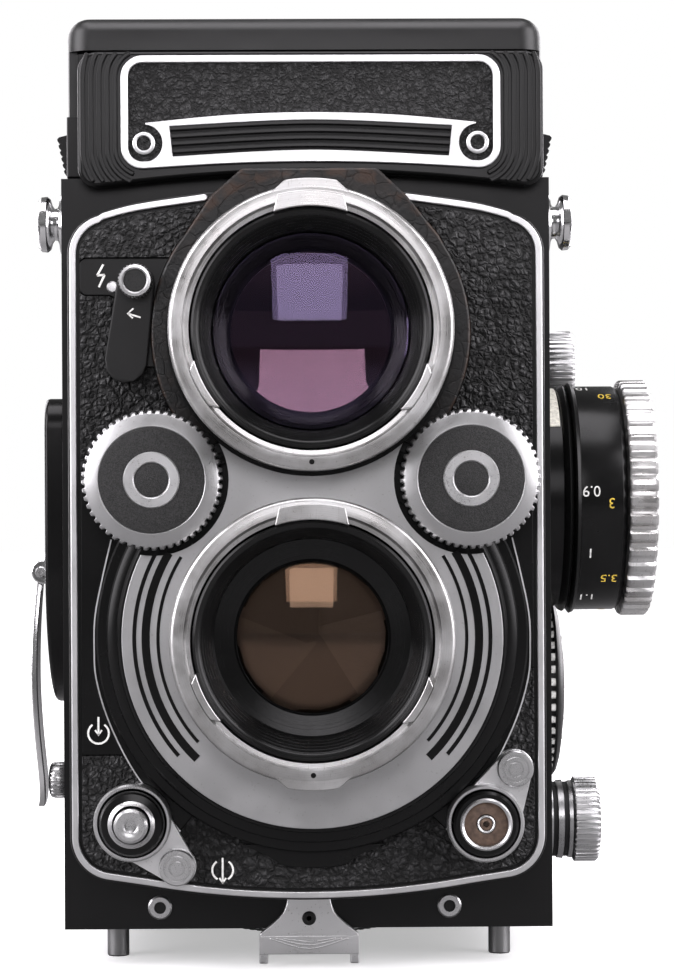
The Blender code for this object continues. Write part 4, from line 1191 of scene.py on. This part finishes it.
def make_number(name, text, size, x, heading, finish):
    """Raised number wrapped round the focusing barrel at a heading in degrees."""
    data = bpy.data.curves.new("number", "FONT")
    data.body = text
    data.size = size
    data.extrude = 0.03
    data.align_x = "CENTER"
    data.resolution_u = 4
    letters = show("number", data)
    graph = bpy.context.evaluated_depsgraph_get()
    mesh = bpy.data.meshes.new_from_object(letters.evaluated_get(graph))
    bpy.data.objects.remove(letters)
    bpy.data.curves.remove(data)
    bm = bmesh.new()
    bm.from_mesh(mesh)
    bpy.data.meshes.remove(mesh)
    bmesh.ops.remove_doubles(bm, verts=bm.verts, dist=0.001)
    for vertex in bm.verts:
        turn = math.radians(heading) + vertex.co.y / FOCUS_RADIUS
        reach = FOCUS_RADIUS + vertex.co.z
        vertex.co = (x - vertex.co.x, FOCUS[0] + reach * math.cos(turn), FOCUS[1] + reach * math.sin(turn))
    finish_piece(name, bm, finish, "focus_knob")


def make_focus_knob():
    """Flange with its window, numbered barrel, ribbed grip, cap and hub."""
    fixed = Axle("X", FOCUS, BODY)
    knob = Axle("X", FOCUS, "focus_knob")
    turned("focus_base", [
        (0, 39.0), (18.3, 39.0), (18.3, 42.1), (18.9, 42.5), (19.2, 43.1), (18.8, 43.6), (0, 43.7),
    ], fixed, GLOSS, 128, node="focus_flange")
    prism("meter_window", sector(FOCUS, 18.6, 17.8, 92, 140, 24), 39.5, 41.9, CREAM, BODY, 0.2, axis="X")
    turned("focus_barrel", [
        (0, 44.0), (19.1, 44.0), (19.5, 44.3), (19.3, 44.8), (18.9, 45.0), (18.9, 51.6), (18.6, 52.2),
        (18.2, 52.6), (0, 52.6),
    ], knob, FOCUS_BLACK, 160, node="focus_knob")
    turned("focus_grip", [
        (0, 52.5), (19.0, 52.5, 1), (19.7, 52.8, 1), (19.9, 53.2, 1), (19.9, 57.0, 1), (19.4, 57.45, 1),
        (18.6, 57.5), (15.6, 57.5), (15.3, 57.2), (15.2, 56.6), (0, 56.6),
    ], knob, GRIP, teeth=42, depth=0.6)
    turned("focus_cap", [
        (0, 56.5), (14.9, 56.5), (14.9, 57.1), (14.5, 57.3), (10.2, 57.3), (10.0, 57.1), (9.4, 57.1),
        (9.2, 57.3), (0, 57.3),
    ], knob, FOCUS_BLACK)
    turned("focus_hub", [
        (0, 57.2), (3.4, 57.2), (3.4, 57.6), (3.1, 57.8), (1.4, 57.8), (1.2, 57.5), (0, 57.5),
    ], knob, SATIN, 48)
    near = ("0.9", "1", "1.1", "1.2", "1.4", "1.7", "2", "3", "5", "10")
    for index, text in enumerate(near):
        make_number(f"metre_{index + 1}", text, 2.5, 46.5, 174 + index * 32, WHITE_INK)
    far = ("3", "3.5", "4", "5", "6", "8", "12", "30")
    for index, text in enumerate(far):
        make_number(f"foot_{index + 1}", text, 2.4, 49.8, 180 + index * 42, YELLOW_INK)


def make_reminder_dial():
    body = "reminder_dial"
    axle = Axle("X", centre_of(body, "X"), body)
    turned("reminder_dome", [
        (0, 39.0), (15.2, 39.0), (15.2, 42.2), (15.55, 42.25), (15.5, 42.6), (14.9, 43.05), (13.4, 43.5),
        (13.1, 43.4), (12.8, 43.6), (8.0, 44.3), (7.7, 44.15), (7.4, 44.35), (3.0, 44.6), (0, 44.65),
    ], axle, REMINDER_BLACK, 128, node=body)
    # The silver knurl of the rim is drawn in white ink: a painted highlight standing for metal teeth that catch
    # the light.
    turned("reminder_teeth_painted_highlight", [(14.0, 39.3), (15.5, 39.3, 1), (15.5, 42.15, 1), (14.0, 42.15)],
           axle, WHITE_INK, teeth=44, depth=0.6)
    turns = range(0, 360, 30)
    dial_ticks("reminder_tick", axle.centre, (9.0, 10.2), turns, 0.35, 43.4, 44.12, WHITE_INK, body)
    turned("reminder_screw", [
        (0, 44.3), (2.2, 44.3), (2.2, 44.75), (1.9, 44.9), (0.9, 44.9), (0.8, 44.6), (0, 44.6),
    ], axle, SATIN, 48)


def make_spool_knobs():
    """Knurled pull knobs of the upper and lower spool."""
    names = ("upper_spool_knob", "lower_spool_knob")
    upper, lower = (Axle("X", centre_of(name, "X"), name) for name in names)
    turned("upper_knob", [
        (0, 39.0), (4.4, 39.0), (4.4, 41.8), (4.8, 42.1), (6.2, 42.2, 0.6), (6.6, 42.6, 1),
        (6.6, 46.7, 1), (6.2, 47.15, 0.6), (5.2, 47.3), (4.9, 47.1), (0, 47.1),
    ], upper, SATIN, teeth=40, depth=0.35, node="upper_spool_knob")
    turned("lower_knob_neck", [
        (0, 39.0), (6.5, 39.0), (6.6, 39.2), (6.6, 40.1), (5.9, 40.2), (5.9, 40.9), (6.4, 41.0),
        (6.5, 41.9), (5.9, 42.0), (5.9, 42.7), (6.3, 42.8), (6.4, 43.4), (0, 43.6),
    ], lower, SATIN, 80, node="lower_spool_knob")
    turned("lower_knob_head", [
        (0, 43.4), (6.2, 43.5, 0.5), (7.0, 43.9, 1), (7.0, 47.4, 1), (6.6, 47.8, 0.6), (5.6, 48.0),
        (5.2, 47.8), (0, 47.8),
    ], lower, SATIN, teeth=44, depth=0.35)
    for index, x in enumerate((40.2, 42.0), 1):
        low, high = x + 0.02, x + 0.68
        turned(f"lower_knob_band_{index}", [(5.5, low), (6.15, low), (6.15, high), (5.5, high)],
               lower, MATT_METAL, 80)


# ---------------------------------------------------------------- left side

def make_crank():
    """Winding crank: hub with a fork, folding arm and handle, on a raised plate."""
    y, z = centre_of("crank_hub", "X")
    hub = Axle("X", (y, z), "crank_hub")
    turned("crank_disc", [
        (0, -42.8), (6.0, -42.8), (6.0, -43.2), (5.7, -43.5), (5.0, -43.6), (4.8, -43.5), (4.2, -43.5),
        (4.0, -43.7), (0, -43.7),
    ], hub, CHROME, node="crank_hub")
    for side, label in ((-1, "front"), (1, "rear")):
        face = y + side * 2.9
        cheek = arc((-44.6, 61.8), 2.0, 90, 270, 12) + [(-43.4, 59.8), (-43.4, 66.0), (-44.2, 65.4)]
        prism("crank_cheek_" + label, cheek, face - 0.65, face + 0.65, CHROME, hub.body, 0.2)
        low, high = face + side * 0.85, face + side * 1.0
        turned("crank_pin_" + label, [
            (0, face), (0.95, face), (0.95, low), (0.8, high), (0.35, high), (0.3, low), (0, low),
        ], Axle("Y", (-45.0, 61.8), hub.body), SATIN, 32)
    make_crank_plate(hub.centre)
    make_crank_arm(y)
    turned("crank_grip", [
        (0, -44.0), (2.0, -44.0), (2.4, -43.9), (2.9, -43.6, 1), (3.1, -43.0, 1), (3.1, -41.6, 1),
        (2.8, -41.1, 1), (2.5, -41.0), (0, -41.0),
    ], Axle("X", (y, middle("crank_handle").z), "crank_handle"), SATIN_CHROME, teeth=24, depth=0.3,
        node="crank_handle")


def make_crank_plate(centre):
    """Raised plate under the crank: rounded block above, half disc below, with the counter window."""
    window = Axle("X", centre_of("counter_dial", "X"), BODY)
    low, high = corner("crank_plate", 0), corner("crank_plate", 1)
    radius = (high.y - low.y) / 2
    shape = arc(((high.y + low.y) / 2, low.z + radius), radius, 180, 360, 64)
    round_by = 5.0
    shape += arc((high.y - round_by, high.z - round_by), round_by, 0, 90, 12)
    shape += arc((low.y + round_by, high.z - round_by), round_by, 90, 180, 12)
    prism("crank_cover", shape, low.x, high.x, GLOSS, BODY, 1.3, [circle(window.centre, 4.35, 48)],
          "crank_plate", "X")
    turned("counter_well", [(0, -40.2), (4.5, -40.2), (4.5, -39.4), (0, -39.4)], window, MATT, 48)
    turned("counter_bezel", [(4.15, -42.2), (4.5, -42.6), (4.9, -42.65), (5.1, -42.4), (4.7, -42.3)],
           window, CHROME, 64)
    turned("crank_ring", [(6.6, -42.45), (6.8, -42.75), (7.8, -42.75), (8.0, -42.45)],
           Axle("X", centre, BODY), SATIN)
    turns = [60 + index * 28 for index in range(13)]
    dial_ticks("counter_tick", window.centre, (2.7, 3.8), turns, 0.24, -41.64, -41.5, SHUTTER_BLACK,
               "counter_dial")


def make_crank_arm(y):
    """Bowed arm: widest in its middle, rounded at its tip, with an eye round the hinge pin."""
    stations = (
        (62.9, -45.3, 1.6), (60.0, -45.4, 1.7), (57.0, -45.7, 2.2), (52.0, -46.1, 3.0), (44.0, -46.3, 3.4),
        (36.0, -45.9, 3.5), (30.0, -45.3, 3.5), (26.3, -44.9, 3.5), (23.2, -44.9, 2.8), (21.8, -45.3, 1.3),
    )
    bm = bmesh.new()
    rings = []
    for z, x, half in stations:
        outline = [(x - 0.55, y - half), (x - 0.7, y), (x - 0.55, y + half)]
        outline += [(x + 0.55, y + half), (x + 0.45, y), (x + 0.55, y - half)]
        rings.append([bm.verts.new((a, b, z)) for a, b in outline])
    for one, two in zip(rings, rings[1:]):
        for index in range(6):
            after = (index + 1) % 6
            bm.faces.new((one[index], one[after], two[after], two[index]))
    bm.faces.new(rings[0])
    bm.faces.new(rings[-1])
    arm = finish_piece("crank_arm_blade", bm, CHROME, "crank_arm", 0.25, "crank_arm", 50)
    round_off = arm.modifiers.new("round", "SUBSURF")
    round_off.levels = 2
    round_off.render_levels = 2


def make_lugs():
    profile = (
        (0, 39.0), (5.2, 39.0), (5.2, 39.9), (4.8, 40.4), (3.4, 40.6), (2.7, 40.9), (2.6, 41.4),
        (3.2, 41.8), (4.2, 42.1), (4.6, 42.6), (4.5, 43.5), (3.9, 44.0), (3.1, 44.2), (0, 44.3),
    )
    for side, label in SIDES:
        node = "strap_lug_" + label
        turned("lug_" + label, [(radius, side * x) for radius, x in profile],
               Axle("X", centre_of(node, "X"), BODY), CHROME, 80, node=node)


# ---------------------------------------------------------------- covers, hood and back

def make_covers():
    """Leather on the body's sides and on the back door."""
    for side, label in SIDES:
        low, high = sorted((side * (BODY_HALF - 0.02), side * (BODY_HALF + 0.26)))
        outline = rounded_rectangle((7.0, 14.0), (62.5, 113.0), 3.5)
        prism("side_leather_" + label, outline, low, high, LEATHER, BODY, 0.12, axis="X")
    rear = corner("back_door", 1).y
    outline = rounded_rectangle((-36.2, 12.0), (36.2, 109.0), 3.5)
    prism("door_leather", outline, rear - 0.02, rear + 0.45, LEATHER, "back_door", 0.2)


def make_lid():
    """Hood lid: rounded shell, open below, with its front lip above the nameplate."""
    low, high = corner("hood_lid", 0), corner("hood_lid", 1)
    wall = 1.3
    outline = rounded_rectangle((low.x, low.y), (high.x, high.y), 3.8)
    shell = prism("lid_shell", outline, 132.0, high.z, LID_PAINT, "hood_lid", 3.2, node="hood_lid", axis="Z")
    shell.modifiers["edge"].segments = 6
    cut(shell, rounded_rectangle((low.x + wall, low.y + wall), (high.x - wall, high.y - wall), 2.0),
        120.0, 149.3, "Z")
    below = [(low.x - 2, -5), (high.x + 2, -5), (high.x + 2, 80), (low.x - 2, 80)]
    cut(shell, below, 120.0, low.z, "Z")
    behind_nameplate = [(-5, 120), (3.8, 120), (3.8, 145.6), (-5, 145.6)]
    cut(shell, behind_nameplate, -60, 60, "X")
    shell.data.set_sharp_from_angle(angle=math.radians(35))


def make_hood_locks():
    """Lid releases with a leaning row of grip ridges."""
    for side, label in SIDES:
        node = "hood_lock_" + label
        low, high = corner(node, 0), corner(node, 1)
        near = low.x if side > 0 else high.x
        outline = [(near, low.z), (near, high.z)]
        for ridge in range(6):
            z = high.z - 0.6 - 1.05 * ridge
            reach = 2.8 - 0.22 * ridge
            outline += [(near + side * (reach - 0.35), z), (near + side * reach, z - 0.35),
                        (near + side * (reach - 0.1), z - 0.75)]
        prism("lock_slide_" + label, outline, low.y, high.y, MATT_METAL, node, 0.08, node=node)


def make_lock_dial():
    """Lock dial of the back with the tripod socket in its middle."""
    body = "back_lock_dial"
    axle = Axle("Z", centre_of(body, "Z"), body)
    turned("lock_dial_ring", [
        (3.2, 8.6), (3.2, 2.9), (3.6, 2.7), (5.4, 2.7), (5.6, 3.1), (9.4, 3.1), (9.6, 2.8), (10.4, 2.8),
        (10.6, 3.1), (13.6, 3.1), (13.8, 2.8), (14.6, 2.8, 1), (15.0, 3.2, 1), (15.0, 5.0, 1),
        (14.6, 5.2), (6.2, 5.2), (6.2, 9.4), (3.2, 9.4),
    ], axle, SATIN, teeth=60, depth=0.4, node=body)
    turned("lock_dial_thread", [(0, 8.7), (3.2, 8.7), (3.2, 9.35), (0, 9.35)], axle, SATIN, 48)


def make_feet():
    for index, spot in enumerate(((-31, 12), (31, 12), (-31, 60), (31, 60)), 1):
        turned(f"foot_{index}_pin", [(0, -0.01), (1.55, -0.01), (1.78, 0.2), (1.78, 5.45), (0, 5.45)],
               Axle("Z", spot, "back_door"), STEEL, 40)


def make_pins():
    """Hinge pin of the back door, and the leaf spring behind the pressure plate."""
    joint = next(item for item in frame["joints"] if item["name"] == "back_door_open")
    hinge = (Vector(joint["pos_m"]) - ORIGIN) / MM
    turned("door_hinge_pin", [(0, -38.2), (0.5, -38.4), (0.7, -38.2), (0.7, 38.2), (0.5, 38.4), (0, 38.2)],
           Axle("X", (hinge.y, hinge.z), BODY), STEEL, 24)
    path = smooth_path([(-22, 62.6), (-14, 63.9), (0, 62.7), (14, 63.9), (22, 62.6)])
    prism("pressure_spring", ribbon(path, 0.25), 48.0, 58.0, STEEL, "back_door", axis="Z")


def make_tongue():
    """Folded steel tongue with a waist, a curved lip and a dark screw."""
    half = smooth_path([(3.3, 11.2), (4.3, 8.4), (7.8, 5.4)], 6)
    half += [(7.9, 4.6), (7.9, 0.6), (6.5, 0.6), (6.5, 2.2)]
    outline = half[::-1] + [(-x, z) for x, z in half]
    prism("tongue_plate", outline, -1.6, -0.5, BRUSHED, BODY, 0.25, node="tripod_tongue")
    for index in range(3):
        path = smooth_path([(-6.2 + index, 4.6), (0, 3.0 + index * 0.55), (6.2 - index, 4.6)])
        prism(f"tongue_crease_{index + 1}", ribbon(path, 0.28), -1.78, -1.5, BRUSHED, BODY, 0.1)
    lip = [(-7.9, 2.1), (7.9, 2.1), (7.9, 5.0), (-7.9, 5.0)]
    prism("tongue_lip", lip, -1.72, -1.5, BRUSHED, BODY, 0.1)
    turned("tongue_screw", [
        (0, -1.2), (1.1, -1.2), (1.1, -1.75), (0.9, -1.9), (0.4, -1.9), (0.35, -1.6), (0, -1.6),
    ], Axle("Y", (0.0, 7.8), BODY), MATT, 32)


def main():
    make_camera()
    make_floor()
    make_world()
    make_lights()
    dress_cad_nodes()
    make_panel()
    make_trim()
    make_front_leather()
    make_front_plates()
    make_band()
    make_shutter()
    make_face_plate()
    make_lens_mounts()
    make_barrels()
    make_glasses()
    make_wheels()
    make_release()
    make_sync_socket()
    make_selector()
    make_lock_marks()
    make_name_block()
    make_nameplate()
    make_flutes()
    make_strip_screws()
    make_focus_knob()
    make_reminder_dial()
    make_spool_knobs()
    make_crank()
    make_lugs()
    make_covers()
    make_lid()
    make_hood_locks()
    make_lock_dial()
    make_feet()
    make_pins()
    make_tongue()
    dress_blades_and_glass()


main()
